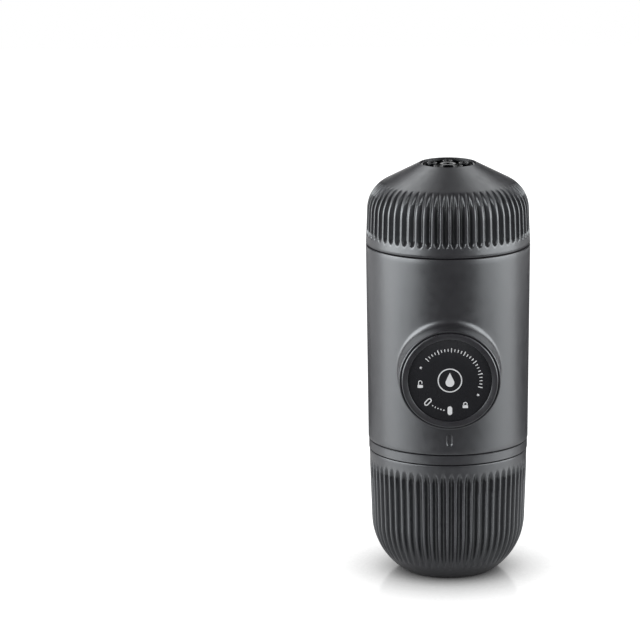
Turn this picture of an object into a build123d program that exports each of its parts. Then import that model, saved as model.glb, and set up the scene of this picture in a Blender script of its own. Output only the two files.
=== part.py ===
from build123d import *
import math
import os

# Handheld manual espresso maker: cup, water tank, pump body and brew head, stacked along +Z.
# Lengths are millimetres. The origin is the centre of the cup's flat foot, and the pump dial
# faces -Y. Lengths called "forward" run from the main axis along the pump's own axis to -Y.

os.makedirs("parts", exist_ok=True)

# ---- Outer stack ----
cup_height = 46.95
collar_height = 3.55
body_height = 74.15
head_height = 30.4
seam_gap = 0.35

body_top_radius = 30.7
body_taper = 0.66
collar_step = 0.19
cup_step = 0.2
cup_taper = 0.71
foot_inset = 11.84
cup_side_height = 21.1
edge_chamfer = 0.4

head_side_lean = 2.06
head_cone_angle = 27.2
shoulder_radius = 12.0
apex_radius = 10.4
apex_depth = 3.7

# ---- Flutes ----
flute_count = 60
flute_depth = 1.2
flute_end_margin = 3.4
cup_fade_radius = 34.0
cup_fade_arc = 36.0
head_fade_radius = 18.0
head_fade_arc = 42.0

# ---- Walls ----
cup_wall = 1.45
cup_floor = 2.6
tank_wall = 1.4
casing_wall = 2.0
casing_lip = 2.75
head_wall = 1.8
liner_wall = 1.2
deck_thickness = 3.0
neck_wall = 1.8
socket_wall = 3.1

# ---- Screw necks ----
socket_gap = 0.44
tank_neck_height = 8.0
brew_neck_height = 5.15
thread_lead = 12.0
thread_starts = 3
thread_depth = 1.1
thread_root_width = 1.9
thread_tip_width = 1.1
thread_sink = 0.3
thread_clearance = 0.3

# ---- Clearances ----
cup_clearance = 0.4
fit_clearance = 0.3
slide_clearance = 0.2
seat_clearance = 0.1
screw_clearance = 0.05
running_clearance = 0.08

# ---- Seals of the screw necks ----
tank_gasket_height = 1.9
group_gasket_height = 1.5
head_gasket_height = 1.2

# ---- Filter basket and shower ----
basket_inset = 2.0
basket_draft = 1.4
basket_sheet = 0.5
basket_rim = 0.8
basket_hole_radius = 0.35
basket_row_pitch = 3.2
basket_rows = 5
plenum_height = 2.4
plenum_ring_width = 1.6
shower_thickness = 2.5
shower_hole_radius = 0.8
screen_thickness = 0.5
shower_rows = 3
shower_row_pitch = 5.2
screen_rows = 6
screen_row_pitch = 3.0
screen_hole_radius = 0.5
holes_in_first_row = 6

# ---- Dial ----
dial_rise = 30.9
dial_reach = 9.8
dial_radius = 17.7
dial_skirt = 18.0
dial_skirt_wall = 1.5
dial_rim_width = 0.7
dial_slope_width = 1.5
dial_slope_depth = 0.9
dial_disc_thickness = 1.2
dial_web = 2.9
dial_mark_radius = 11.4
dial_mark_length = 3.3
dial_mark_width = 1.7
dial_mark_angle = 45.0
dial_mark_stroke = 0.4
dial_mark_depth = 0.2
dial_dot_count = 5
dial_dot_radius = 0.25

# ---- Dial boss and index ----
boss_setback = 0.8
boss_rim_width = 1.0
boss_taper = 1.0
boss_root = 12.0
boss_blend = 1.5
index_drop = 25.1
index_length = 4.9
index_width = 2.3
index_relief = 0.35

# ---- Twist lock ----
lug_count = 3
lug_angle = 22.0
lug_reach = 1.3
lug_thickness = 2.0
notch_angle = 30.0
lug_start_angle = 90.0
sleeve_wall = 1.5
sleeve_lip = 1.5
sleeve_base = 2.5
sleeve_base_radius = 17.3
sleeve_hole_radius = 6.0
lip_gap = 0.5

# ---- Pump ----
port_length = 3.5
pump_bore_radius = 8.0
pump_stroke = 14.0
cylinder_wall = 1.6
cylinder_seal_length = 1.0
piston_length = 6.0
piston_radius = 7.7
piston_home_gap = 0.5
piston_stop_gap = 0.3
seal_groove_depth = 1.5
seal_offset = 1.2
seal_length = 2.0
cap_thickness = 3.4
pump_block_radius = 13.0
pad_thickness = 3.0
rod_radius = 4.0
rod_tail_radius = 3.0
rod_tail_length = 4.0
journal_radius = 2.8
hub_radius = 5.0
hub_length = 5.0
spring_radius = 7.2
spring_wire_radius = 0.6
spring_turns = 7

# ---- Valves ----
valve_inset = 0.9
valve_column_radius = 4.5
port_radius = 1.2
pocket_radius = 3.0
inlet_pocket_height = 9.0
outlet_pocket_height = 8.6
valve_ring_height = 2.0
poppet_radius = 2.4
poppet_thickness = 1.2
poppet_stem_radius = 0.8
poppet_stem_length = 2.4
valve_spring_radius = 1.6
valve_wire_radius = 0.25
valve_spring_turns = 4
vent_inset = 8.4
vent_y = -6.0
vent_disc_radius = 3.0
vent_disc_thickness = 0.8
vent_stem_radius = 0.95
vent_bulb_radius = 1.5
vent_bulb_length = 1.5

# ---- Frame of the pump body ----
web_thickness = 3.0
center_boss_radius = 4.0
center_boss_height = 7.0

# ---- Screws ----
small_screw_radius = 1.0
small_head_radius = 1.8
small_head_height = 1.4
sleeve_screw_count = 3
sleeve_screw_circle = 11.0
sleeve_screw_length = 7.5
sleeve_screw_angle = 30.0
casing_screw_count = 4
casing_screw_inset = 2.1
casing_screw_length = 4.8
shower_screw_radius = 1.3
shower_head_radius = 3.2
shower_head_height = 1.8
shower_screw_length = 14.0
dial_screw_radius = 1.25
dial_head_radius = 4.4
dial_head_height = 1.6
dial_screw_length = 9.0
socket_share = 0.5

# ---- Head outlet ----
spout_radius = 2.2
spout_wall = 1.3
spout_rise = 0.8
funnel_gap = 1.3
funnel_lead_in = 2.4
recess_wall = 1.5
insert_base = 1.3
lobe_count = 5
lobe_circle = 6.2
lobe_radius = 2.1
lobe_bore_radius = 1.1
lobe_height = 1.9
center_lobe_radius = 3.2
outlet_bore_radius = 1.5

# ---- Radii worked out from the body's ----
body_bottom_radius = body_top_radius - body_taper
collar_radius = body_bottom_radius - collar_step
cup_rim_radius = collar_radius - cup_step
cup_side_radius = cup_rim_radius - cup_taper
foot_radius = cup_side_radius - foot_inset

socket_radius = body_bottom_radius - casing_wall - socket_gap
socket_bore_radius = socket_radius - socket_wall
neck_radius = socket_bore_radius - thread_clearance
neck_bore_radius = neck_radius - neck_wall
valve_offset = neck_bore_radius - valve_inset - valve_column_radius
vent_x = vent_inset - neck_bore_radius
casing_screw_circle = neck_radius + casing_screw_inset
basket_mouth_radius = neck_bore_radius - basket_inset
basket_base_radius = basket_mouth_radius - basket_draft

# ---- Levels worked out from the stack ----
collar_bottom = cup_height + seam_gap
collar_top = collar_bottom + collar_height
body_bottom = collar_top + seam_gap
body_top = body_bottom + body_height
head_bottom = body_top + seam_gap
head_top = head_bottom + head_height

tank_neck_top = collar_top + tank_neck_height
brew_neck_top = body_top + brew_neck_height
lower_deck_bottom = tank_neck_top + tank_gasket_height + 2 * seat_clearance
lower_deck_top = lower_deck_bottom + deck_thickness
upper_deck_top = body_top - casing_lip
upper_deck_bottom = upper_deck_top - deck_thickness
dial_height = body_bottom + dial_rise
index_height = dial_height - index_drop

cup_bore_rim = cup_rim_radius - flute_depth - cup_wall
cup_bore_side = cup_side_radius - flute_depth - cup_wall
cup_floor_radius = foot_radius - cup_wall
tank_floor = cup_floor + cup_clearance

# ---- Stations along the pump's axis, forward of the main axis ----
dial_front = body_top_radius + dial_reach
boss_front = dial_front - boss_setback
boss_front_radius = dial_radius + boss_rim_width
dial_disc_front = dial_front - dial_slope_depth
dial_web_front = dial_disc_front - dial_disc_thickness
dial_web_back = dial_web_front - dial_web
dial_skirt_back = dial_front - dial_skirt
hub_back = dial_web_back - hub_length
skirt_bore_radius = dial_radius - dial_skirt_wall
sleeve_front = dial_web_back - lip_gap
sleeve_lip_back = sleeve_front - sleeve_lip
lug_front = sleeve_lip_back - fit_clearance
lug_back = lug_front - lug_thickness
lug_tip_radius = skirt_bore_radius - lug_reach
sleeve_outer_radius = lug_tip_radius - fit_clearance
sleeve_lip_radius = skirt_bore_radius - fit_clearance

chamber_back = port_length - valve_offset
piston_back = chamber_back + piston_home_gap
piston_front = piston_back + piston_length
cap_back = piston_front + pump_stroke + piston_stop_gap
cap_front = cap_back + cap_thickness
sleeve_base_front = cap_front + sleeve_base
block_bore_back = chamber_back - cylinder_seal_length
block_back = -(valve_offset + valve_column_radius)
cylinder_radius = pump_bore_radius + cylinder_wall
block_bore_radius = cylinder_radius + seat_clearance
counterbore_floor = dial_web_front - dial_head_height - fit_clearance
dial_head_seat = counterbore_floor + screw_clearance
boss_bore_radius = dial_radius + slide_clearance
dial_rim_radius = dial_radius - dial_rim_width
dial_slope_radius = dial_rim_radius - dial_slope_width
pump_axis = Axis((0, 0, dial_height), (0, -1, 0))
pump_section = Plane(origin=(0, 0, dial_height), x_dir=(1, 0, 0), z_dir=(0, 0, -1))


def pump_plane(forward):
    """Plane square to the pump's axis, looking to the front, at a length forward of the main axis."""
    return Plane(origin=(0, -forward, dial_height), x_dir=(1, 0, 0), z_dir=(0, -1, 0))


def valve_plane(level):
    """Level plane whose centre is on the axis of the two valves."""
    return Plane(origin=(0, valve_offset, level), x_dir=(1, 0, 0), z_dir=(0, 0, 1))


def thread_ridge(root_radius, low, high, margin):
    """One start of the coarse thread, or with a margin the cutter of its groove."""
    reach = thread_sink + thread_depth
    with BuildPart() as ridge:
        with BuildLine() as helix:
            Helix(thread_lead, high - low, root_radius - thread_sink, center=(0, 0, low))
        with BuildSketch(Plane(origin=helix.line @ 0, x_dir=(1, 0, 0), z_dir=helix.line % 0)):
            Polygon(
                (0, -thread_root_width / 2 - margin),
                (reach, -thread_tip_width / 2 - margin),
                (reach, thread_tip_width / 2 + margin),
                (0, thread_root_width / 2 + margin),
                align=None,
            )
        sweep(is_frenet=True)
    return ridge.part


def thread_phase(low):
    """Angle at which a ridge begins at a level, so that all lie on one set of helices."""
    return 360 * low / thread_lead


def flat_ring(plane, outer_radius, inner_radius, height):
    """Washer or gasket that stands on a plane."""
    with BuildPart() as ring:
        with BuildSketch(plane):
            Circle(outer_radius)
            Circle(inner_radius, mode=Mode.SUBTRACT)
        extrude(amount=height)
    return ring.part


def coil_spring(start, direction, coil_radius, wire_radius, length, turns):
    """Open compression spring of round wire."""
    with BuildPart() as coil:
        with BuildLine() as helix:
            Helix(length / turns, length, coil_radius, center=start, direction=direction)
        with BuildSketch(Plane(origin=helix.line @ 0, z_dir=helix.line % 0)):
            Circle(wire_radius)
        sweep(is_frenet=True)
    return coil.part


def valve_poppet(level):
    """Poppet with a flat sealing disc and a short stem that centres its spring."""
    with BuildPart() as poppet:
        with BuildSketch(valve_plane(level)):
            Circle(poppet_radius)
        extrude(amount=poppet_thickness)
        with BuildSketch(valve_plane(level + poppet_thickness)):
            Circle(poppet_stem_radius)
        extrude(amount=poppet_stem_length)
    return poppet.part


def screw(shank_radius, shank_length, head_radius, head_height):
    """Socket screw with its head standing on the origin's plane and its shank below it."""
    with BuildPart() as body:
        with BuildSketch():
            Circle(head_radius)
        extrude(amount=head_height)
        with BuildSketch():
            Circle(shank_radius)
        extrude(amount=-shank_length)
        with BuildSketch(Plane.XY.offset(head_height)):
            RegularPolygon(head_radius * socket_share, 6)
        extrude(amount=-head_height * socket_share, mode=Mode.SUBTRACT)
    return body.part


def ring_sector(outer_radius, inner_radius, angle):
    """Part of a flat ring, centred on the X axis."""
    with BuildSketch() as piece:
        with BuildLine():
            outer_arc = CenterArc((0, 0), outer_radius, -angle / 2, angle)
            inner_arc = CenterArc((0, 0), inner_radius, -angle / 2, angle)
            Line(outer_arc @ 0, inner_arc @ 0)
            Line(outer_arc @ 1, inner_arc @ 1)
        make_face()
    return piece.sketch


def hole_rows(rows, pitch, radius):
    """Rings of round holes about the centre, each ring with as many more holes as the first."""
    with BuildSketch() as holes:
        for row in range(1, rows + 1):
            with PolarLocations(row * pitch, row * holes_in_first_row):
                Circle(radius)
    return holes.sketch


def dial_mark_shapes():
    """Marks of the dial: a filled bar at its foot, an open bar one twist away, and dots between."""
    dot_step = dial_mark_angle / (dial_dot_count + 3)
    with BuildSketch() as marks:
        with Locations((0, -dial_mark_radius)):
            SlotOverall(dial_mark_length, dial_mark_width, rotation=90)
        with PolarLocations(dial_mark_radius, 1, start_angle=-90 - dial_mark_angle):
            SlotOverall(dial_mark_length, dial_mark_width)
            SlotOverall(
                dial_mark_length - 2 * dial_mark_stroke,
                dial_mark_width - 2 * dial_mark_stroke,
                mode=Mode.SUBTRACT,
            )
        for step in range(2, dial_dot_count + 2):
            with PolarLocations(dial_mark_radius, 1, start_angle=-90 - step * dot_step):
                Circle(dial_dot_radius)
    return marks.sketch


def dome_outline(inset, end_radius):
    """Points of the head's outline from its lower edge up to a radius, moved inwards by an inset."""
    lean = math.tan(math.radians(head_side_lean))
    slope = math.tan(math.radians(head_cone_angle))
    edge_radius = body_top_radius - inset / math.cos(math.radians(head_side_lean))
    apex_level = head_top - inset / math.cos(math.radians(head_cone_angle))
    edge_reach = edge_radius - apex_radius + head_bottom * lean
    corner_level = (apex_level - slope * edge_reach) / (1 - slope * lean)
    corner_radius = edge_radius - (corner_level - head_bottom) * lean
    end_level = apex_level - slope * (end_radius - apex_radius)
    return (edge_radius, head_bottom), (corner_radius, corner_level), (end_radius, end_level)


def flute(top, bottom, fade_radius, fade_arc):
    """Cutter of one groove: round-ended, straight along the side, then leaving the curved end."""
    side = Vector(bottom[0] - top[0], 0, bottom[1] - top[1])
    outwards = Vector(abs(side.Z), 0, -side.X * side.Z / abs(side.Z)).normalized()
    center = Vector(bottom[0], 0, bottom[1]) - outwards * fade_radius
    turn_axis = Axis(center, (0, 1, 0) if side.Z < 0 else (0, -1, 0))
    with BuildPart() as cutter:
        with BuildSketch(Plane(origin=(top[0], 0, top[1]), z_dir=side)):
            Circle(flute_depth)
        extrude(amount=side.length)
        with BuildSketch(Plane(origin=(bottom[0], 0, bottom[1]), z_dir=side)):
            Circle(flute_depth)
        revolve(axis=turn_axis, revolution_arc=fade_arc)
        with Locations((top[0], 0, top[1])):
            Sphere(flute_depth)
    return cutter.part


# ---- Portable cup ----
flute_top = cup_height - flute_end_margin - flute_depth
flute_share = (flute_top - cup_side_height) / (cup_height - cup_side_height)
flute_top_radius = cup_side_radius + flute_share * (cup_rim_radius - cup_side_radius)
cup_flute = flute(
    (flute_top_radius, flute_top),
    (cup_side_radius, cup_side_height),
    cup_fade_radius,
    cup_fade_arc,
)

with BuildPart() as cup:
    with BuildSketch(Plane.XZ):
        with BuildLine():
            Polyline((0, 0), (foot_radius, 0))
            TangentArc((cup_side_radius, cup_side_height), (foot_radius, 0), tangent=(0, -1))
            Polyline(
                (cup_side_radius, cup_side_height),
                (cup_rim_radius, cup_height),
                (cup_bore_rim, cup_height),
                (cup_bore_side, cup_side_height),
            )
            TangentArc((cup_bore_side, cup_side_height), (cup_floor_radius, cup_floor), tangent=(0, -1))
            Polyline((cup_floor_radius, cup_floor), (0, cup_floor), (0, 0))
        make_face()
    revolve(axis=Axis.Z)
    rim_edges = cup.edges().filter_by(GeomType.CIRCLE).group_by(Axis.Z)[-1]
    chamfer(rim_edges, edge_chamfer)
    with PolarLocations(0, flute_count):
        add(cup_flute, mode=Mode.SUBTRACT)
cup.part.label = "portable_cup"
export_step(cup.part, "parts/portable_cup.step")


# ---- Water tank: sleeve, collar band and threaded neck in one moulding ----
tank_low = (cup_bore_side - cup_clearance, cup_side_height)
tank_high = (cup_bore_rim - cup_clearance, cup_height)
tank_base = (cup_floor_radius - cup_clearance, tank_floor)
tank_shoulder = collar_bottom + tank_wall
inner_floor = tank_floor + tank_wall
inner_low = (tank_low[0] - tank_wall, cup_side_height)
inner_base = (tank_base[0] - tank_wall, inner_floor)
with BuildPart() as tank:
    with BuildSketch(Plane.XZ):
        with BuildLine():
            Polyline((0, tank_floor), tank_base)
            TangentArc(tank_low, tank_base, tangent=(0, -1))
            Polyline(
                tank_low,
                tank_high,
                (tank_high[0], collar_bottom),
                (collar_radius, collar_bottom),
                (collar_radius, collar_top),
                (neck_radius, collar_top),
                (neck_radius, tank_neck_top),
                (neck_bore_radius, tank_neck_top),
                (neck_bore_radius, tank_shoulder),
                (tank_high[0] - tank_wall, collar_bottom - tank_wall),
                inner_low,
            )
            TangentArc(inner_low, inner_base, tangent=(0, -1))
            Polyline(inner_base, (0, inner_floor), (0, tank_floor))
        make_face()
    revolve(axis=Axis.Z)
    round_edges = tank.edges().filter_by(GeomType.CIRCLE)
    collar_edges = round_edges.filter_by(lambda edge: edge.radius > cup_rim_radius)
    chamfer(collar_edges, edge_chamfer / 2)
    ridge_low = collar_top + thread_root_width
    ridge_high = tank_neck_top - thread_root_width / 2 - fit_clearance
    ridge = thread_ridge(neck_radius, ridge_low, ridge_high, 0)
    with PolarLocations(0, thread_starts, start_angle=thread_phase(ridge_low)):
        add(ridge)
tank.part.label = "water_tank"
export_step(tank.part, "parts/water_tank.step")

with BuildPart() as tank_gasket:
    gasket_plane = Plane.XY.offset(tank_neck_top + seat_clearance)
    add(flat_ring(gasket_plane, neck_radius, neck_bore_radius, tank_gasket_height))
tank_gasket.part.label = "tank_gasket"
export_step(tank_gasket.part, "parts/tank_gasket.step")


# ---- Body casing: tapered shell with the dial boss and the top lip ----
lean_share = (body_top_radius - body_bottom_radius) / body_height
lip_bore_radius = neck_radius + cup_clearance
casing_screw_angle = 180 / casing_screw_count
lip_outer_radius = body_top_radius - casing_wall - lean_share * casing_lip
with BuildPart() as casing:
    with BuildSketch(Plane.XZ):
        Polygon(
            (0, body_bottom),
            (body_bottom_radius, body_bottom),
            (body_top_radius, body_top),
            (0, body_top),
            align=None,
        )
    revolve(axis=Axis.Z)
    with BuildSketch(pump_plane(boss_front)):
        Circle(boss_front_radius)
    extrude(amount=-(boss_front - boss_root), taper=-boss_taper)
    boss_edges = casing.edges().filter_by(GeomType.BSPLINE)
    fillet(boss_edges, boss_blend)
    with BuildSketch(Plane.XZ):
        Polygon(
            (0, body_bottom),
            (body_bottom_radius - casing_wall, body_bottom),
            (lip_outer_radius, upper_deck_top),
            (lip_bore_radius, upper_deck_top),
            (lip_bore_radius, body_top),
            (0, body_top),
            align=None,
        )
    revolve(axis=Axis.Z, mode=Mode.SUBTRACT)
    with BuildSketch(pump_plane(boss_front)):
        Circle(boss_bore_radius)
    extrude(amount=-(boss_front - boss_root), mode=Mode.SUBTRACT)
    with BuildSketch(Plane.XZ.offset(body_bottom_radius - casing_wall / 2)):
        with Locations((0, index_height)):
            SlotOverall(index_length, index_width, rotation=90)
    extrude(amount=casing_wall / 2 + index_relief)
    with BuildSketch(Plane.XY.offset(upper_deck_top)):
        with PolarLocations(casing_screw_circle, casing_screw_count, start_angle=casing_screw_angle):
            Circle(small_screw_radius + screw_clearance)
    extrude(amount=casing_screw_length - deck_thickness + screw_clearance, mode=Mode.SUBTRACT)
casing.part.label = "body_casing"
export_step(casing.part, "parts/body_casing.step")


# ---- Frame of the pump body: socket, decks, pump block, valve columns and brew neck ----
upper_deck_radius = lip_outer_radius - fit_clearance
web_front = cap_front - pad_thickness
with BuildPart() as chassis:
    with BuildSketch(Plane.XZ):
        Polygon(
            (0, lower_deck_bottom),
            (socket_bore_radius, lower_deck_bottom),
            (socket_bore_radius, body_bottom),
            (socket_radius, body_bottom),
            (socket_radius, lower_deck_top),
            (0, lower_deck_top),
            align=None,
        )
        Polygon(
            (0, upper_deck_bottom),
            (upper_deck_radius, upper_deck_bottom),
            (upper_deck_radius, upper_deck_top),
            (neck_radius, upper_deck_top),
            (neck_radius, brew_neck_top),
            (neck_bore_radius, brew_neck_top),
            (neck_bore_radius, upper_deck_top),
            (0, upper_deck_top),
            align=None,
        )
    revolve(axis=Axis.Z)
    with BuildSketch(Plane.YZ):
        with Locations(((valve_offset - web_front) / 2, (lower_deck_top + upper_deck_bottom) / 2)):
            Rectangle(valve_offset + web_front, upper_deck_bottom - lower_deck_top)
    extrude(amount=web_thickness / 2, both=True)
    with BuildSketch(pump_plane(block_back)):
        Circle(pump_block_radius)
    extrude(amount=cap_front - block_back)
    with BuildSketch(pump_plane(web_front)):
        Circle(sleeve_base_radius)
    extrude(amount=pad_thickness)
    with BuildSketch(valve_plane(lower_deck_top)):
        Circle(valve_column_radius)
    extrude(amount=upper_deck_bottom - lower_deck_top)
    with BuildSketch(Plane.XY.offset(upper_deck_bottom)):
        Circle(center_boss_radius)
    extrude(amount=-center_boss_height)

    # Pump bore, water passages and valve pockets
    with BuildSketch(pump_plane(block_bore_back)):
        Circle(block_bore_radius)
    extrude(amount=cap_front - block_bore_back, mode=Mode.SUBTRACT)
    with BuildSketch(pump_plane(-valve_offset)):
        Circle(port_radius)
    extrude(amount=block_bore_back + valve_offset, mode=Mode.SUBTRACT)
    with BuildSketch(valve_plane(lower_deck_bottom)):
        Circle(port_radius)
    extrude(amount=upper_deck_top - lower_deck_bottom, mode=Mode.SUBTRACT)
    with BuildSketch(valve_plane(lower_deck_bottom)):
        Circle(pocket_radius)
    extrude(amount=inlet_pocket_height, mode=Mode.SUBTRACT)
    with BuildSketch(valve_plane(upper_deck_top)):
        Circle(pocket_radius)
    extrude(amount=-outlet_pocket_height, mode=Mode.SUBTRACT)

    # Holes of the vent and the screws
    with BuildSketch(Plane.XY.offset(lower_deck_bottom)):
        with Locations((vent_x, vent_y)):
            Circle(vent_stem_radius + screw_clearance)
    extrude(amount=deck_thickness, mode=Mode.SUBTRACT)
    with BuildSketch(Plane.XY.offset(upper_deck_top)):
        Circle(shower_screw_radius + screw_clearance)
    extrude(amount=-(deck_thickness + center_boss_height), mode=Mode.SUBTRACT)
    with BuildSketch(Plane.XY.offset(upper_deck_bottom)):
        with PolarLocations(casing_screw_circle, casing_screw_count, start_angle=casing_screw_angle):
            Circle(small_screw_radius + screw_clearance)
    extrude(amount=deck_thickness, mode=Mode.SUBTRACT)
    with BuildSketch(pump_plane(cap_front)):
        with PolarLocations(sleeve_screw_circle, sleeve_screw_count, start_angle=sleeve_screw_angle):
            Circle(small_screw_radius + screw_clearance)
    extrude(amount=-(sleeve_screw_length - sleeve_base + screw_clearance), mode=Mode.SUBTRACT)

    # Ridges on the brew neck, and grooves for the tank's ridges in the socket
    brew_ridge_low = body_top + thread_root_width / 2 + 2 * fit_clearance
    brew_ridge_high = brew_neck_top - thread_root_width / 2 - fit_clearance
    brew_ridge = thread_ridge(neck_radius, brew_ridge_low, brew_ridge_high, 0)
    with PolarLocations(0, thread_starts, start_angle=thread_phase(brew_ridge_low)):
        add(brew_ridge)
    groove_low = body_bottom - thread_root_width
    groove = thread_ridge(socket_bore_radius, groove_low, ridge_high + 2 * fit_clearance, thread_clearance)
    with PolarLocations(0, thread_starts, start_angle=thread_phase(groove_low)):
        add(groove, mode=Mode.SUBTRACT)
chassis.part.label = "chassis"
export_step(chassis.part, "parts/chassis.step")

with BuildPart(Plane(origin=(0, 0, upper_deck_bottom), z_dir=(0, 0, -1))) as casing_screws:
    with PolarLocations(casing_screw_circle, casing_screw_count, start_angle=casing_screw_angle):
        add(screw(small_screw_radius, casing_screw_length, small_head_radius, small_head_height))
casing_screws.part.label = "casing_screws"
export_step(casing_screws.part, "parts/casing_screws.step")


# ---- Pump: cylinder, end seal, cap and the sleeve that locks the dial ----
with BuildPart() as cylinder:
    add(flat_ring(pump_plane(chamber_back), cylinder_radius, pump_bore_radius, cap_back - chamber_back))
cylinder.part.label = "pump_cylinder"
export_step(cylinder.part, "parts/pump_cylinder.step")

with BuildPart() as cylinder_seal:
    add(flat_ring(pump_plane(block_bore_back), cylinder_radius, pump_bore_radius, cylinder_seal_length))
cylinder_seal.part.label = "cylinder_seal"
export_step(cylinder_seal.part, "parts/cylinder_seal.step")

with BuildPart() as cylinder_cap:
    add(flat_ring(pump_plane(cap_back), cylinder_radius, rod_radius + running_clearance, cap_thickness))
cylinder_cap.part.label = "cylinder_cap"
export_step(cylinder_cap.part, "parts/cylinder_cap.step")

with BuildPart() as lock_sleeve:
    with BuildSketch(pump_plane(cap_front)):
        Circle(sleeve_base_radius)
        Circle(sleeve_hole_radius, mode=Mode.SUBTRACT)
        with PolarLocations(sleeve_screw_circle, sleeve_screw_count, start_angle=sleeve_screw_angle):
            Circle(small_screw_radius + screw_clearance, mode=Mode.SUBTRACT)
    extrude(amount=sleeve_base)
    with BuildSketch(pump_plane(sleeve_base_front)):
        Circle(sleeve_outer_radius)
        Circle(sleeve_outer_radius - sleeve_wall, mode=Mode.SUBTRACT)
    extrude(amount=sleeve_front - sleeve_base_front)
    with BuildSketch(pump_plane(sleeve_lip_back)):
        Circle(sleeve_lip_radius)
        Circle(sleeve_outer_radius - sleeve_wall, mode=Mode.SUBTRACT)
        with PolarLocations(0, lug_count, start_angle=lug_start_angle):
            add(
                ring_sector(sleeve_lip_radius + lug_reach, sleeve_outer_radius, notch_angle),
                mode=Mode.SUBTRACT,
            )
    extrude(amount=sleeve_lip)
lock_sleeve.part.label = "lock_sleeve"
export_step(lock_sleeve.part, "parts/lock_sleeve.step")

with BuildPart(pump_plane(sleeve_base_front)) as sleeve_screws:
    with PolarLocations(sleeve_screw_circle, sleeve_screw_count, start_angle=sleeve_screw_angle):
        add(screw(small_screw_radius, sleeve_screw_length, small_head_radius, small_head_height))
sleeve_screws.part.label = "sleeve_screws"
export_step(sleeve_screws.part, "parts/sleeve_screws.step")


# ---- Piston: head, seal, rod and the return spring ----
seal_back = piston_back + seal_offset
seal_front = seal_back + seal_length
tail_back = piston_front - rod_tail_length
journal_back = hub_back - seat_clearance
groove_radius = piston_radius - seal_groove_depth
tail_bore_radius = rod_tail_radius + screw_clearance
with BuildPart() as piston_head:
    with BuildSketch(pump_section):
        Polygon(
            (0, piston_back),
            (piston_radius, piston_back),
            (piston_radius, seal_back),
            (groove_radius, seal_back),
            (groove_radius, seal_front),
            (piston_radius, seal_front),
            (piston_radius, piston_front),
            (tail_bore_radius, piston_front),
            (tail_bore_radius, tail_back),
            (0, tail_back),
            align=None,
        )
    revolve(axis=pump_axis)
piston_head.part.label = "piston_head"
export_step(piston_head.part, "parts/piston_head.step")

with BuildPart() as piston_seal:
    add(
        flat_ring(
            pump_plane(seal_back + screw_clearance),
            pump_bore_radius - screw_clearance,
            groove_radius + screw_clearance,
            seal_length - 2 * screw_clearance,
        )
    )
piston_seal.part.label = "piston_seal"
export_step(piston_seal.part, "parts/piston_seal.step")

with BuildPart() as piston_rod:
    with BuildSketch(pump_section):
        Polygon(
            (0, tail_back),
            (rod_tail_radius, tail_back),
            (rod_tail_radius, piston_front),
            (rod_radius, piston_front),
            (rod_radius, journal_back),
            (journal_radius, journal_back),
            (journal_radius, dial_head_seat),
            (0, dial_head_seat),
            align=None,
        )
    revolve(axis=pump_axis)
    with BuildSketch(pump_plane(dial_head_seat)):
        Circle(dial_screw_radius + screw_clearance)
    extrude(amount=-(dial_screw_length + screw_clearance), mode=Mode.SUBTRACT)
piston_rod.part.label = "piston_rod"
export_step(piston_rod.part, "parts/piston_rod.step")

with BuildPart(pump_plane(dial_head_seat)) as dial_screw:
    add(screw(dial_screw_radius, dial_screw_length, dial_head_radius, dial_head_height))
dial_screw.part.label = "dial_screw"
export_step(dial_screw.part, "parts/dial_screw.step")

spring_inset = spring_wire_radius + seat_clearance
with BuildPart() as pump_spring:
    add(
        coil_spring(
            (0, -(sleeve_base_front + spring_inset), dial_height),
            (0, -1, 0),
            spring_radius,
            spring_wire_radius,
            dial_web_back - sleeve_base_front - 2 * spring_inset,
            spring_turns,
        )
    )
pump_spring.part.label = "pump_spring"
export_step(pump_spring.part, "parts/pump_spring.step")


# ---- Dial: skirted knob with its lugs, and the inset disc with its marks ----
with BuildPart() as dial_knob:
    with BuildSketch(pump_section):
        Polygon(
            (0, hub_back),
            (hub_radius, hub_back),
            (hub_radius, dial_web_back),
            (skirt_bore_radius, dial_web_back),
            (skirt_bore_radius, dial_skirt_back),
            (dial_radius, dial_skirt_back),
            (dial_radius, dial_front),
            (dial_rim_radius, dial_front),
            (dial_slope_radius, dial_disc_front),
            (dial_slope_radius, dial_web_front),
            (0, dial_web_front),
            align=None,
        )
    revolve(axis=pump_axis)
    round_edges = dial_knob.edges().filter_by(GeomType.CIRCLE)
    wide_edges = round_edges.filter_by(lambda edge: edge.radius > dial_rim_radius)
    chamfer(wide_edges.sort_by(Axis.Y)[0], edge_chamfer / 2)
    with BuildSketch(pump_plane(lug_back)):
        with PolarLocations(0, lug_count, start_angle=lug_start_angle):
            add(ring_sector(skirt_bore_radius + dial_skirt_wall / 2, lug_tip_radius, lug_angle))
    extrude(amount=lug_thickness)
    with BuildSketch(pump_plane(dial_web_front)):
        Circle(dial_head_radius + fit_clearance)
    extrude(amount=counterbore_floor - dial_web_front, mode=Mode.SUBTRACT)
    with BuildSketch(pump_plane(hub_back)):
        Circle(journal_radius + running_clearance)
    extrude(amount=counterbore_floor - hub_back, mode=Mode.SUBTRACT)
dial_knob.part.label = "dial_knob"
export_step(dial_knob.part, "parts/dial_knob.step")

with BuildPart() as dial_disc:
    with BuildSketch(pump_plane(dial_web_front)):
        Circle(dial_slope_radius - screw_clearance)
    extrude(amount=dial_disc_thickness)
    with BuildSketch(pump_plane(dial_disc_front)):
        add(dial_mark_shapes())
    extrude(amount=-dial_mark_depth, mode=Mode.SUBTRACT)
dial_disc.part.label = "dial_disc"
export_step(dial_disc.part, "parts/dial_disc.step")

with BuildPart() as dial_marks:
    with BuildSketch(pump_plane(dial_disc_front)):
        add(dial_mark_shapes())
    extrude(amount=-dial_mark_depth)
dial_marks.part.label = "dial_marks"
export_step(dial_marks.part, "parts/dial_marks.step")


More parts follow.
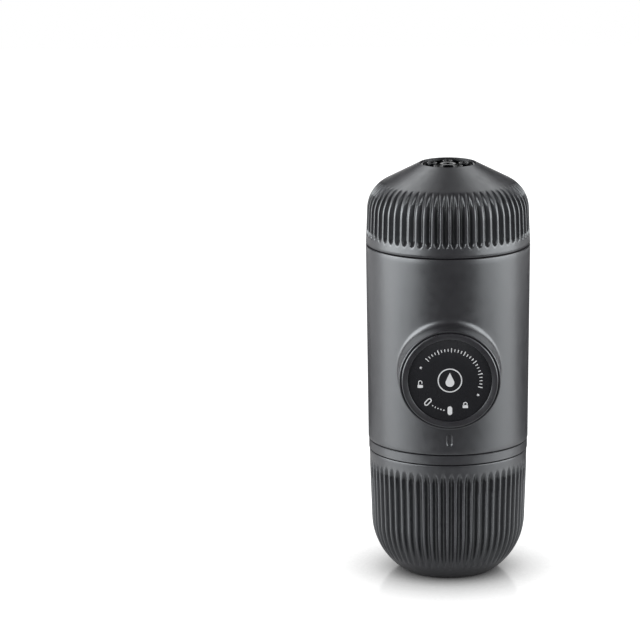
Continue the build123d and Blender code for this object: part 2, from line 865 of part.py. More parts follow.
# ---- Check valves and tank vent ----
inlet_poppet_level = lower_deck_bottom + valve_ring_height + seat_clearance
inlet_pocket_top = lower_deck_bottom + inlet_pocket_height
outlet_poppet_level = upper_deck_top - outlet_pocket_height + seat_clearance
outlet_ring_level = upper_deck_top - valve_ring_height
valve_ring_radius = pocket_radius - screw_clearance
wire_inset = valve_wire_radius + seat_clearance

with BuildPart() as inlet_seat:
    add(flat_ring(valve_plane(lower_deck_bottom), valve_ring_radius, port_radius, valve_ring_height))
inlet_seat.part.label = "inlet_seat"
export_step(inlet_seat.part, "parts/inlet_seat.step")

with BuildPart() as inlet_poppet:
    add(valve_poppet(inlet_poppet_level))
inlet_poppet.part.label = "inlet_poppet"
export_step(inlet_poppet.part, "parts/inlet_poppet.step")

with BuildPart() as inlet_spring:
    inlet_spring_level = inlet_poppet_level + poppet_thickness + wire_inset
    add(
        coil_spring(
            (0, valve_offset, inlet_spring_level),
            (0, 0, 1),
            valve_spring_radius,
            valve_wire_radius,
            inlet_pocket_top - wire_inset - inlet_spring_level,
            valve_spring_turns,
        )
    )
inlet_spring.part.label = "inlet_spring"
export_step(inlet_spring.part, "parts/inlet_spring.step")

with BuildPart() as outlet_poppet:
    add(valve_poppet(outlet_poppet_level))
outlet_poppet.part.label = "outlet_poppet"
export_step(outlet_poppet.part, "parts/outlet_poppet.step")

with BuildPart() as outlet_spring:
    outlet_spring_level = outlet_poppet_level + poppet_thickness + wire_inset
    add(
        coil_spring(
            (0, valve_offset, outlet_spring_level),
            (0, 0, 1),
            valve_spring_radius,
            valve_wire_radius,
            outlet_ring_level - wire_inset - outlet_spring_level,
            valve_spring_turns,
        )
    )
outlet_spring.part.label = "outlet_spring"
export_step(outlet_spring.part, "parts/outlet_spring.step")

with BuildPart() as outlet_retainer:
    add(flat_ring(valve_plane(outlet_ring_level), valve_ring_radius, port_radius, valve_ring_height))
outlet_retainer.part.label = "outlet_retainer"
export_step(outlet_retainer.part, "parts/outlet_retainer.step")

with BuildPart(Plane(origin=(vent_x, vent_y, lower_deck_bottom))) as vent_valve:
    Cylinder(vent_disc_radius, vent_disc_thickness, align=(Align.CENTER, Align.CENTER, Align.MAX))
    Cylinder(vent_stem_radius, deck_thickness, align=(Align.CENTER, Align.CENTER, Align.MIN))
    with Locations((0, 0, deck_thickness)):
        Cylinder(vent_bulb_radius, vent_bulb_length, align=(Align.CENTER, Align.CENTER, Align.MIN))
vent_valve.part.label = "vent_valve"
export_step(vent_valve.part, "parts/vent_valve.step")


# ---- Brew chamber: shower, group gasket and filter basket ----
shower_radius = neck_bore_radius - fit_clearance
shower_bottom = upper_deck_top + plenum_height
shower_top = shower_bottom + shower_thickness
screen_top = shower_top + screen_thickness
basket_level = brew_neck_top + group_gasket_height + seat_clearance
basket_rim_radius = neck_radius - cup_clearance
basket_sheet_radius = basket_mouth_radius + basket_sheet

head_inset = flute_depth + head_wall
liner_bore_radius = basket_sheet_radius + fit_clearance
cone_level = dome_outline(head_inset, liner_bore_radius)[2][1]
funnel_level = cone_level - slide_clearance - liner_wall
basket_top = funnel_level - fit_clearance

with BuildPart() as shower_plate:
    with BuildSketch(Plane.XY.offset(upper_deck_top)):
        Circle(shower_radius)
        Circle(shower_radius - plenum_ring_width, mode=Mode.SUBTRACT)
        Circle(center_boss_radius)
    extrude(amount=plenum_height)
    with BuildSketch(Plane.XY.offset(shower_bottom)):
        Circle(shower_radius)
        add(hole_rows(shower_rows, shower_row_pitch, shower_hole_radius), mode=Mode.SUBTRACT)
    extrude(amount=shower_thickness)
    with BuildSketch(Plane.XY.offset(upper_deck_top)):
        Circle(shower_screw_radius + screw_clearance)
    extrude(amount=plenum_height + shower_thickness, mode=Mode.SUBTRACT)
shower_plate.part.label = "shower_plate"
export_step(shower_plate.part, "parts/shower_plate.step")

with BuildPart() as shower_screen:
    with BuildSketch(Plane.XY.offset(shower_top)):
        Circle(shower_radius)
        Circle(shower_screw_radius + screw_clearance, mode=Mode.SUBTRACT)
        add(hole_rows(screen_rows, screen_row_pitch, screen_hole_radius), mode=Mode.SUBTRACT)
    extrude(amount=screen_thickness)
shower_screen.part.label = "shower_screen"
export_step(shower_screen.part, "parts/shower_screen.step")

with BuildPart(Plane.XY.offset(screen_top)) as shower_screw:
    add(screw(shower_screw_radius, shower_screw_length, shower_head_radius, shower_head_height))
shower_screw.part.label = "shower_screw"
export_step(shower_screw.part, "parts/shower_screw.step")

with BuildPart() as group_gasket:
    add(flat_ring(Plane.XY.offset(brew_neck_top), neck_radius, neck_bore_radius, group_gasket_height))
group_gasket.part.label = "group_gasket"
export_step(group_gasket.part, "parts/group_gasket.step")

with BuildPart() as basket:
    with BuildSketch(Plane.XZ):
        Polygon(
            (basket_mouth_radius, basket_level),
            (basket_rim_radius, basket_level),
            (basket_rim_radius, basket_level + basket_rim),
            (basket_sheet_radius, basket_level + basket_rim),
            (basket_base_radius + basket_sheet, basket_top),
            (0, basket_top),
            (0, basket_top - basket_sheet),
            (basket_base_radius, basket_top - basket_sheet),
            align=None,
        )
    revolve(axis=Axis.Z)
    with BuildSketch(Plane.XY.offset(basket_top)):
        add(hole_rows(basket_rows, basket_row_pitch, basket_hole_radius))
    extrude(amount=-basket_sheet, mode=Mode.SUBTRACT)
basket.part.label = "filter_basket"
export_step(basket.part, "parts/filter_basket.step")


# ---- Brew head: fluted shell, threaded liner with its funnel, gasket and nozzle ----
recess_floor = head_top - apex_depth
recess_underside = recess_floor - recess_wall
liner_radius = dome_outline(head_inset, apex_radius)[0][0] - slide_clearance
liner_level = head_bottom + fit_clearance
gasket_level = basket_level + basket_rim + seat_clearance
gasket_top = gasket_level + head_gasket_height
funnel_top = recess_underside - funnel_gap
funnel_rise = funnel_top - funnel_level - liner_wall
spout_outer_radius = spout_radius + spout_wall
spout_top = recess_floor + spout_rise
liner_step = gasket_top + liner_wall
liner_step_radius = liner_radius - (liner_step - liner_level) * math.tan(math.radians(head_side_lean))

with BuildPart() as head_shell:
    outline = dome_outline(0, apex_radius)
    hollow = dome_outline(head_inset, apex_radius + recess_wall)
    with BuildSketch(Plane.XZ):
        with BuildLine():
            FilletPolyline(*outline, radius=shoulder_radius)
            Polyline(outline[-1], (0, head_top), (0, head_bottom), outline[0])
        make_face()
        with BuildLine():
            FilletPolyline(*hollow, radius=shoulder_radius - head_inset)
            Polyline(
                hollow[-1],
                (hollow[-1][0], recess_underside),
                (0, recess_underside),
                (0, head_bottom),
                hollow[0],
            )
        make_face(mode=Mode.SUBTRACT)
        with Locations((0, head_top)):
            Rectangle(2 * apex_radius, 2 * apex_depth, mode=Mode.SUBTRACT)
        with Locations((0, recess_floor)):
            Rectangle(2 * (spout_outer_radius + slide_clearance), 2 * recess_wall, mode=Mode.SUBTRACT)
        split(bisect_by=Plane.YZ, keep=Keep.TOP)
    revolve(axis=Axis.Z)
    lower_edges = head_shell.edges().filter_by(GeomType.CIRCLE).group_by(Axis.Z)[0]
    chamfer(lower_edges.sort_by(SortBy.RADIUS)[-1], edge_chamfer)
    shoulder_reach = shoulder_radius * math.tan(math.radians(90 - head_side_lean - head_cone_angle) / 2)
    side_length = math.dist(outline[0], outline[1])
    fade_share = 1 - shoulder_reach / side_length
    start_share = (flute_end_margin + flute_depth) / side_length
    side_points = [
        tuple(low + share * (high - low) for low, high in zip(outline[0], outline[1]))
        for share in (start_share, fade_share)
    ]
    head_flute = flute(side_points[0], side_points[1], head_fade_radius, head_fade_arc)
    with PolarLocations(0, flute_count):
        add(head_flute, mode=Mode.SUBTRACT)
head_shell.part.label = "head_shell"
export_step(head_shell.part, "parts/head_shell.step")

with BuildPart() as head_liner:
    with BuildSketch(Plane.XZ):
        Polygon(
            (socket_bore_radius, liner_level),
            (liner_radius, liner_level),
            (liner_step_radius, liner_step),
            (liner_bore_radius + liner_wall, liner_step),
            (liner_bore_radius + liner_wall, funnel_level - funnel_lead_in),
            (liner_bore_radius, funnel_level + liner_wall),
            (spout_outer_radius, funnel_top),
            (spout_outer_radius, spout_top),
            (spout_radius, spout_top),
            (spout_radius, funnel_level + funnel_rise),
            (liner_bore_radius - liner_wall, funnel_level),
            (liner_bore_radius, funnel_level - funnel_lead_in),
            (liner_bore_radius, gasket_top),
            (socket_bore_radius, gasket_top),
            align=None,
        )
    revolve(axis=Axis.Z)
    brew_groove_low = liner_level - thread_root_width
    brew_groove_high = brew_ridge_high + 2 * fit_clearance
    brew_groove = thread_ridge(socket_bore_radius, brew_groove_low, brew_groove_high, thread_clearance)
    with PolarLocations(0, thread_starts, start_angle=thread_phase(brew_groove_low)):
        add(brew_groove, mode=Mode.SUBTRACT)
head_liner.part.label = "head_liner"
export_step(head_liner.part, "parts/head_liner.step")

with BuildPart() as head_gasket:
    add(flat_ring(Plane.XY.offset(gasket_level), neck_radius, liner_bore_radius, head_gasket_height))
head_gasket.part.label = "head_gasket"
export_step(head_gasket.part, "parts/head_gasket.step")

with BuildPart() as nozzle_insert:
    with BuildSketch(Plane.XY.offset(recess_floor)):
        Circle(apex_radius - slide_clearance)
    extrude(amount=insert_base)
    with BuildSketch(Plane.XY.offset(recess_floor + insert_base)):
        Circle(center_lobe_radius)
        with PolarLocations(lobe_circle, lobe_count, start_angle=90):
            Circle(lobe_radius)
    extrude(amount=lobe_height)
    with BuildSketch(Plane.XY.offset(recess_floor + insert_base + lobe_height)):
        with PolarLocations(lobe_circle, lobe_count, start_angle=90):
            Circle(lobe_bore_radius)
    extrude(amount=-lobe_height, mode=Mode.SUBTRACT)
    with BuildSketch(Plane.XY.offset(recess_floor)):
        Circle(outlet_bore_radius)
    extrude(amount=insert_base + lobe_height, mode=Mode.SUBTRACT)
    with BuildSketch(Plane.XY.offset(recess_floor)):
        Circle(spout_outer_radius + slide_clearance)
    extrude(amount=spout_rise + fit_clearance, mode=Mode.SUBTRACT)
nozzle_insert.part.label = "nozzle_insert"
export_step(nozzle_insert.part, "parts/nozzle_insert.step")
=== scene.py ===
"""Dress the handheld manual espresso maker: shells, dial, nozzle, springs, finishes and a plain studio.

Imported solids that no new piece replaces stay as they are, and get their finishes here.
"""

from __future__ import annotations

import logging
import math
from collections.abc import Callable, Sequence
from dataclasses import dataclass, field
from enum import Enum
from functools import cache

import bmesh
import bpy
import numpy as np
from mathutils import Euler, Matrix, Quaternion, Vector

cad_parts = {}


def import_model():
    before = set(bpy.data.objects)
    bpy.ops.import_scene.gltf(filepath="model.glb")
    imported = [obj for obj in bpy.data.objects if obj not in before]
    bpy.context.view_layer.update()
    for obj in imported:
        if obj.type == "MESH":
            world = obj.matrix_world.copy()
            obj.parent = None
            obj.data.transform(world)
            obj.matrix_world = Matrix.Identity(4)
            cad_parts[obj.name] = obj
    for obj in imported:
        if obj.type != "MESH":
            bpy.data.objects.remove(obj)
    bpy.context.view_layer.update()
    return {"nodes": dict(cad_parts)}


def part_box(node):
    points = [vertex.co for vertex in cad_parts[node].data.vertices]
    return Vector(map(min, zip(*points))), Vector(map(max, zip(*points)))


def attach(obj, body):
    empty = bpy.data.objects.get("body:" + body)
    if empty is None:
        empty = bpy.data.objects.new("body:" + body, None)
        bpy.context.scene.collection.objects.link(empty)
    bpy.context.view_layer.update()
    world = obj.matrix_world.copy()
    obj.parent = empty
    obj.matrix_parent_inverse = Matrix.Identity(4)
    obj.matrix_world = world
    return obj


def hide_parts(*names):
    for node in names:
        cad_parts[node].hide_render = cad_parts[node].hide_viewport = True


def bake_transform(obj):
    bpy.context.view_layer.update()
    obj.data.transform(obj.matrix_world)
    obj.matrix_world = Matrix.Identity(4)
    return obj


MM = 0.001
FULL_TURN = 2 * math.pi
QUARTER_TURN = math.pi / 2
ROUNDING_ERROR = 1e-9
MERGE_REACH = 0.002 * MM
SMOOTH_ANGLE = math.radians(42)
TURNING_STEPS = 180
ROUNDING_STEPS = 4

Color = tuple[float, float, float]
Point = tuple[float, float]
Skin = Callable[[np.ndarray], np.ndarray]

log = logging.getLogger("espresso_maker")


class Body(str, Enum):
    """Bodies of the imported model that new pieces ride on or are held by."""

    CUP = "cup"
    MAIN = "main_body"
    PISTON = "piston"
    DIAL = "dial"
    INLET = "inlet_valve"
    OUTLET = "outlet_valve"
    HEAD = "head"


class Slot(str, Enum):
    """Material slots of the record."""

    SHELL = "grey_shell"
    DIAL_RIM = "dial_rim"
    DIAL_FACE = "dial_black"
    MARKS = "white_marks"
    NOZZLE = "nozzle_black"
    SPRING = "spring_steel"


# ---- Finishes ----


class Graph:
    """A short way to write a node graph."""

    def __init__(self, tree: bpy.types.NodeTree) -> None:
        """Keep the tree that the nodes go into."""
        self.tree = tree

    def add(self, kind: str, **values: object) -> bpy.types.Node:
        """Add a node and set its sockets and properties.

        Args:
            kind: The node's type.
            values: Socket values by socket name, with _ for a space, or node properties.

        Returns:
            The new node.
        """
        node = self.tree.nodes.new(kind)
        for name, value in values.items():
            socket = node.inputs.get(name.replace("_", " "))
            if socket is None:
                setattr(node, name, value)
            else:
                socket.default_value = value
        return node

    def link(self, output: bpy.types.NodeSocket, target: bpy.types.NodeSocket) -> None:
        """Join an output of one node to an input of another."""
        self.tree.links.new(output, target)

    def calculate(self, operation: str, *terms: bpy.types.NodeSocket | float) -> bpy.types.NodeSocket:
        """Add a math node.

        Args:
            operation: What it does.
            terms: Its inputs, each an output of another node or a number.

        Returns:
            Its output.
        """
        node = self.add("ShaderNodeMath", operation=operation)
        for socket, term in zip(node.inputs, terms):
            if isinstance(term, bpy.types.NodeSocket):
                self.link(term, socket)
            else:
                socket.default_value = term
        return node.outputs[0]

    def choose(self, switch: bpy.types.NodeSocket, off: float, on: float) -> bpy.types.NodeSocket:
        """Add a choice between two numbers.

        Args:
            switch: An output that is 0 or 1.
            off: The number for 0.
            on: The number for 1.

        Returns:
            The output with the chosen number.
        """
        mix = self.add("ShaderNodeMix", data_type="FLOAT", A=off, B=on)
        self.link(switch, mix.inputs["Factor"])
        return mix.outputs["Result"]

    def meets(self, *rays: str) -> bpy.types.NodeSocket:
        """Add a test of what kind of ray meets the surface.

        Args:
            rays: The kinds of ray to find, by the names of Light Path's outputs.

        Returns:
            An output that is 1 for these rays and 0 for others.
        """
        path = self.add("ShaderNodeLightPath")
        found = path.outputs[rays[0]]
        for ray in rays[1:]:
            found = self.calculate("MAXIMUM", found, path.outputs[ray])
        return found


class MaterialGraph(Graph):
    """The node graph of a new material, with patterns on object coordinates."""

    middle_range = (0.3, 0.7)
    tint_range = (0.35, 0.65)

    def __init__(self, name: str) -> None:
        """Make a material with its surface shader and its output.

        Args:
            name: The material's name.
        """
        self.material = bpy.data.materials.new(name)
        self.material.use_nodes = True
        super().__init__(self.material.node_tree)
        self.tree.nodes.clear()
        self.output = self.add("ShaderNodeOutputMaterial")
        self.shader = self.add("ShaderNodeBsdfPrincipled")
        self.link(self.shader.outputs[0], self.output.inputs[0])
        self.place = self.add("ShaderNodeTexCoord").outputs["Object"]

    def noise(self, grain: float, detail: float = 2.0, place: bpy.types.NodeSocket | None = None,
              ) -> bpy.types.NodeSocket:
        """Add noise.

        Args:
            grain: Size of its features in metres.
            detail: Number of finer layers.
            place: The coordinates it reads, the object's own by default.

        Returns:
            The noise.
        """
        noise = self.add("ShaderNodeTexNoise", Scale=1 / grain, Detail=detail)
        self.link(self.place if place is None else place, noise.inputs["Vector"])
        return noise.outputs[0]

    def spread(self, source: bpy.types.NodeSocket, low: float, high: float) -> None:
        """Spread the roughness over a range by the middle range of a noise.

        Args:
            source: The noise.
            low: The least roughness.
            high: The greatest roughness.
        """
        start, end = self.middle_range
        span = self.add("ShaderNodeMapRange", From_Min=start, From_Max=end, To_Min=low, To_Max=high)
        self.link(source, span.inputs["Value"])
        self.link(span.outputs[0], self.shader.inputs["Roughness"])

    def tint(self, source: bpy.types.NodeSocket, dark: Sequence[float], light: Sequence[float]) -> None:
        """Colour the surface between two colours by a noise.

        Args:
            source: The noise.
            dark: The colour of its low parts.
            light: The colour of its high parts.
        """
        ramp = self.add("ShaderNodeValToRGB")
        for stop, position, color in zip(ramp.color_ramp.elements, self.tint_range, (dark, light)):
            stop.position = position
            stop.color = (*color, 1)
        self.link(source, ramp.inputs[0])
        self.link(ramp.outputs[0], self.shader.inputs["Base Color"])

    def relief(self, source: bpy.types.NodeSocket, height: float) -> None:
        """Turn the surface's normals as if a noise of a height in metres stood on it.

        Args:
            source: The noise.
            height: Its height.
        """
        bump = self.add("ShaderNodeBump", Strength=1.0, Distance=height)
        self.link(source, bump.inputs["Height"])
        self.link(bump.outputs[0], self.shader.inputs["Normal"])


@dataclass(frozen=True)
class Moulding:
    """Moulded plastic or rubber: faint mottling, uneven gloss and a fine surface grain."""

    name: str
    color: Color
    roughness: float
    grain: float
    grain_height: float
    mottle: float = 0.08
    uneven: float = 0.04
    specular: float = 0.5
    sheen: Color = (0.92, 0.97, 1.0)
    cloud_size: float = 9 * MM
    smear_size: float = 3 * MM

    def material(self) -> bpy.types.Material:
        """Make the material.

        Returns:
            The material.
        """
        graph = MaterialGraph(self.name)
        dark = [value * (1 - self.mottle) for value in self.color]
        light = [value * (1 + self.mottle) for value in self.color]
        graph.tint(graph.noise(self.cloud_size, detail=4), dark, light)
        smear = graph.noise(self.smear_size, detail=3)
        graph.spread(smear, self.roughness - self.uneven, self.roughness + self.uneven)
        graph.relief(graph.noise(self.grain), self.grain_height)
        graph.shader.inputs["Specular IOR Level"].default_value = self.specular
        graph.shader.inputs["Specular Tint"].default_value = (*self.sheen, 1)
        return graph.material


@dataclass(frozen=True)
class Metal:
    """Drawn or turned steel with fine marks of the tool."""

    name: str
    color: Color
    roughness: float
    mark: float
    smoother: float = 0.06
    rougher: float = 0.08
    darkest: float = 0.9
    mark_height: float = 0.004 * MM
    mark_stretch: Color = (1, 1, 12)
    cloud_size: float = 6 * MM

    def material(self) -> bpy.types.Material:
        """Make the material.

        Returns:
            The material.
        """
        graph = MaterialGraph(self.name)
        graph.shader.inputs["Metallic"].default_value = 1.0
        cloud = graph.noise(self.cloud_size, detail=3)
        graph.tint(cloud, [value * self.darkest for value in self.color], self.color)
        stretch = graph.add("ShaderNodeMapping", Scale=self.mark_stretch)
        graph.link(graph.place, stretch.inputs["Vector"])
        marks = graph.noise(self.mark, 3, stretch.outputs[0])
        graph.spread(marks, self.roughness - self.smoother, self.roughness + self.rougher)
        graph.relief(marks, self.mark_height)
        return graph.material


SHELL_GREY = Moulding("shell_grey", (0.0190, 0.0184, 0.0210), 0.34, 0.22 * MM, 0.004 * MM, specular=0.98)
RIM_GREY = Moulding("rim_grey", (0.021, 0.020, 0.023), 0.30, 0.3 * MM, 0.001 * MM, specular=0.95)
GLOSS_BLACK = Moulding("gloss_black", (0.015, 0.015, 0.017), 0.20, 0.5 * MM, 0.001 * MM,
                       mottle=0.05, uneven=0.03, specular=0.6)
PRINT_WHITE = Moulding("print_white", (0.66, 0.67, 0.68), 0.45, 0.12 * MM, 0.002 * MM, mottle=0.03)
NOZZLE_BLACK = Moulding("nozzle_black", (0.004, 0.004, 0.005), 0.18, 0.6 * MM, 0.001 * MM,
                        mottle=0.05, uneven=0.03, specular=0.25)
CARD_BLACK = Moulding("card_black", (0.02, 0.02, 0.02), 0.9, 1.0 * MM, 0.01 * MM)
FRAME_BLACK = Moulding("frame_black", (0.022, 0.022, 0.024), 0.42, 0.25 * MM, 0.008 * MM)
SEAL_RED = Moulding("seal_red", (0.50, 0.10, 0.07), 0.55, 0.3 * MM, 0.006 * MM, mottle=0.05)
STEEL = Metal("stainless_steel", (0.66, 0.66, 0.67), 0.26, 0.35 * MM)
SPRING_WIRE = Metal("spring_wire", (0.52, 0.52, 0.54), 0.32, 0.2 * MM)

NODE_FINISHES = {
    SHELL_GREY: ["water_tank"],
    FRAME_BLACK: ["chassis", "lock_sleeve", "cylinder_cap", "piston_head", "outlet_retainer", "inlet_seat",
                  "head_liner", "shower_plate"],
    SEAL_RED: ["tank_gasket", "cylinder_seal", "piston_seal", "group_gasket", "head_gasket", "vent_valve",
               "inlet_poppet", "outlet_poppet"],
    STEEL: ["pump_cylinder", "filter_basket", "shower_screen", "shower_screw", "piston_rod", "casing_screws",
            "sleeve_screws", "dial_screw"],
}


@cache
def material_of(finish: Moulding | Metal) -> bpy.types.Material:
    """Return a finish's material, made once."""
    return finish.material()


def paint(piece: bpy.types.Object, finish: Moulding | Metal) -> None:
    """Give a piece one finish all over."""
    piece.data.materials.clear()
    piece.data.materials.append(material_of(finish))


# ---- Modelling ----


def start_alone() -> None:
    """Go to object mode with nothing selected, so that an operator acts on the new piece alone."""
    if bpy.context.object is not None and bpy.context.object.mode != "OBJECT":
        bpy.ops.object.mode_set(mode="OBJECT")
    bpy.ops.object.select_all(action="DESELECT")


def pick(piece: bpy.types.Object, *others: bpy.types.Object) -> None:
    """Select pieces and nothing else, and make the first the active one.

    Args:
        piece: The first piece.
        others: The rest.
    """
    start_alone()
    for part in (piece, *others):
        part.select_set(True)
    bpy.context.view_layer.objects.active = piece


def edit(piece: bpy.types.Object) -> None:
    """Open a piece in edit mode with all of it selected.

    Args:
        piece: The piece to open.
    """
    pick(piece)
    bpy.ops.object.mode_set(mode="EDIT")
    bpy.ops.mesh.select_all(action="SELECT")


def join(piece: bpy.types.Object, others: Sequence[bpy.types.Object]) -> None:
    """Join other pieces into a piece."""
    pick(piece, *others)
    bpy.ops.object.join()


def read_points(piece: bpy.types.Object) -> np.ndarray:
    """Return the places of a piece's vertices.

    Args:
        piece: The piece to read.

    Returns:
        Its vertices, one row each.
    """
    flat = np.empty(len(piece.data.vertices) * 3)
    piece.data.vertices.foreach_get("co", flat)
    return flat.reshape(-1, 3)


def write_points(piece: bpy.types.Object, points: np.ndarray) -> None:
    """Move a piece's vertices to new places."""
    piece.data.vertices.foreach_set("co", np.ascontiguousarray(points, float).ravel())
    piece.data.update()


def close_up(piece: bpy.types.Object) -> None:
    """Merge what meets, turn all faces outwards and shade smoothly between sharp edges.

    Args:
        piece: A piece whose surface is closed but for doubled points.
    """
    edit(piece)
    bpy.ops.mesh.remove_doubles(threshold=MERGE_REACH)
    bpy.ops.mesh.normals_make_consistent(inside=False)
    bpy.ops.object.mode_set(mode="OBJECT")
    bpy.ops.object.shade_smooth_by_angle(angle=SMOOTH_ANGLE)


def fill_ends(piece: bpy.types.Object) -> None:
    """Close the long seam of a sheet that is rolled into a tube, and any open ends of the tube.

    Args:
        piece: The rolled sheet.
    """
    edit(piece)
    bpy.ops.mesh.remove_doubles(threshold=MERGE_REACH)
    bpy.ops.mesh.fill_holes(sides=0)
    bpy.ops.object.mode_set(mode="OBJECT")


def grid_sheet(name: str, columns: int, rows: int, place: Callable[[np.ndarray, np.ndarray], np.ndarray],
               ) -> bpy.types.Object:
    """Add a grid and lay it along a rule.

    Args:
        name: The piece's name.
        columns: Number of points across.
        rows: Number of points up.
        place: Gives the place of each vertex for arrays of column and row numbers.

    Returns:
        The laid sheet.
    """
    start_alone()
    bpy.ops.mesh.primitive_grid_add(x_subdivisions=columns - 1, y_subdivisions=rows - 1, size=1)
    sheet = bpy.context.object
    sheet.name = sheet.data.name = name
    flat = read_points(sheet)
    across = np.rint((flat[:, 0] + 0.5) * (columns - 1)).astype(int)
    up = np.rint((flat[:, 1] + 0.5) * (rows - 1)).astype(int)
    write_points(sheet, place(across, up))
    return sheet


@dataclass(frozen=True)
class Lathe:
    """An axis to turn outlines about."""

    center: Vector
    axis: Vector
    across: Vector

    def place(self, radius: float, along: float) -> Vector:
        """Return the point at a radius and a length along the axis."""
        return self.center + self.across * radius + self.axis * along

    def turn(self, name: str, outline: Sequence[Point], steps: int = TURNING_STEPS) -> bpy.types.Object:
        """Turn an outline into a closed solid.

        Args:
            name: The piece's name.
            outline: Points of radius and length along the axis. It starts and ends on the axis, or is
                a loop.
            steps: Number of steps of the full turn.

        Returns:
            The turned piece.
        """
        start_alone()
        bpy.ops.mesh.primitive_circle_add(vertices=len(outline), radius=1)
        piece = bpy.context.object
        piece.name = piece.data.name = name
        write_points(piece, np.array([self.place(*point) for point in outline]))
        edit(piece)
        if outline[0][0] == 0 and outline[-1][0] == 0:
            self.open_on_axis(piece)
        bpy.ops.mesh.spin(steps=steps, angle=FULL_TURN, center=self.center, axis=self.axis)
        close_up(piece)
        return piece

    def open_on_axis(self, piece: bpy.types.Object) -> None:
        """Delete the edge that runs along the axis, from the outline's last point to its first.

        Args:
            piece: The outline, open in edit mode.
        """
        mesh = bmesh.from_edit_mesh(piece.data)
        mesh.verts.ensure_lookup_table()
        closing = mesh.edges.get((mesh.verts[0], mesh.verts[-1]))
        bpy.ops.mesh.select_all(action="DESELECT")
        closing.select = True
        bmesh.update_edit_mesh(piece.data)
        bpy.ops.mesh.delete(type="EDGE")
        bpy.ops.mesh.select_all(action="SELECT")


UPRIGHT = Lathe(Vector((0, 0, 0)), Vector((0, 0, 1)), Vector((1, 0, 0)))


def rounded(corners: Sequence[tuple[float, float, float]], closed: bool = False) -> list[Point]:
    """Round the corners of an outline.

    Args:
        corners: Points with their corner radius, 0 for a sharp one.
        closed: Whether the outline is a loop.

    Returns:
        The outline's points.
    """
    points = []
    for index, (across, along, radius) in enumerate(corners):
        corner = Vector((across, along))
        if radius == 0 or (not closed and index in (0, len(corners) - 1)):
            points.append((across, along))
            continue
        before = (Vector(corners[index - 1][:2]) - corner).normalized()
        after = (Vector(corners[(index + 1) % len(corners)][:2]) - corner).normalized()
        half = before.angle(after) / 2
        reach = radius / math.tan(half)
        middle = corner + (before + after).normalized() * (radius / math.sin(half))
        start, end = corner + before * reach - middle, corner + after * reach - middle
        for step in range(ROUNDING_STEPS + 1):
            share = step / ROUNDING_STEPS
            spoke = (start * (1 - share) + end * share).normalized() * radius
            points.append(tuple(middle + spoke))
    return points


def evenly(start: Sequence[float], end: Sequence[float], step: float) -> list[Point]:
    """Divide a straight stretch of outline, without its start, into parts no longer than a step.

    Args:
        start: Where the stretch starts.
        end: Where it ends.
        step: The longest part.

    Returns:
        The points after the start.
    """
    low, high = Vector(start), Vector(end)
    count = max(1, math.ceil((high - low).length / step))
    return [tuple(low.lerp(high, share / count)) for share in range(1, count + 1)]


def bezier(control: Sequence[np.ndarray], share: float) -> np.ndarray:
    """Return the point of a cubic curve at a share of its way.

    Args:
        control: Its four control points.
        share: How far along it the point lies.

    Returns:
        The point.
    """
    rest = 1 - share
    weights = (rest**3, 3 * rest**2 * share, 3 * rest * share**2, share**3)
    return sum(weight * point for weight, point in zip(weights, control))


def dress(piece: bpy.types.Object, finish: Moulding | Metal, node: str) -> None:
    """Give a piece its finish, and hide the CAD node that it stands for.

    Args:
        piece: The finished piece.
        finish: Its finish.
        node: The CAD node that it replaces.
    """
    paint(piece, finish)
    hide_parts(node)
    log.info("%s: %d faces for %s", piece.name, len(piece.data.polygons), node)


# ---- Fluted shells ----


CUTTER_AWAY = 1.0


@dataclass(frozen=True)
class Flute:
    """Round-bottomed groove, sunk by a round cutter, whose edges roll over into rounded ridges."""

    radius: float = 1.06 * MM
    crest: float = 0.45 * MM
    steepness: float = 1.7
    count: int = 60
    column_shares: tuple[float, ...] = (0, 0.22, 0.44, 0.62, 0.74, 0.82, 0.9, 1.0)

    def depth(self, off_center: np.ndarray, lift: np.ndarray) -> np.ndarray:
        """Return the groove's depth.

        Args:
            off_center: Distance from the groove's centre line.
            lift: Height of the cutter's centre above the plain surface.

        Returns:
            The depth below the plain surface.
        """
        off = np.abs(off_center)
        reach = np.sqrt(np.clip((self.radius + self.crest) ** 2 - (lift + self.crest) ** 2, 0, None))
        meeting = reach * self.radius / (self.radius + self.crest)
        scoop = (np.sqrt(np.clip(self.radius**2 - off**2, 0, None)) - lift) * self.steepness
        roll = self.crest - np.sqrt(np.clip(self.crest**2 - (reach - off) ** 2, 0, None))
        return np.where(off >= reach, 0.0, np.where(off > meeting, roll, np.clip(scoop, 0, None)))

    def run_out(self, shares: Sequence[float], power: float) -> list[float]:
        """Return the cutter's lift along the stretch in which the groove runs out.

        Args:
            shares: How far along the stretch each point lies, 1 where the groove ends.
            power: How late the groove gets shallow.

        Returns:
            The lift at each point.
        """
        return [self.radius * share**power for share in shares]

    def angles(self) -> np.ndarray:
        """Return the angles of the columns across one groove, closer together on its walls.

        Returns:
            The angles, from the middle of one ridge to the middle of the next.
        """
        half = np.array(self.column_shares)
        shares = np.concatenate([-half[:0:-1], half])
        return shares * math.pi / self.count


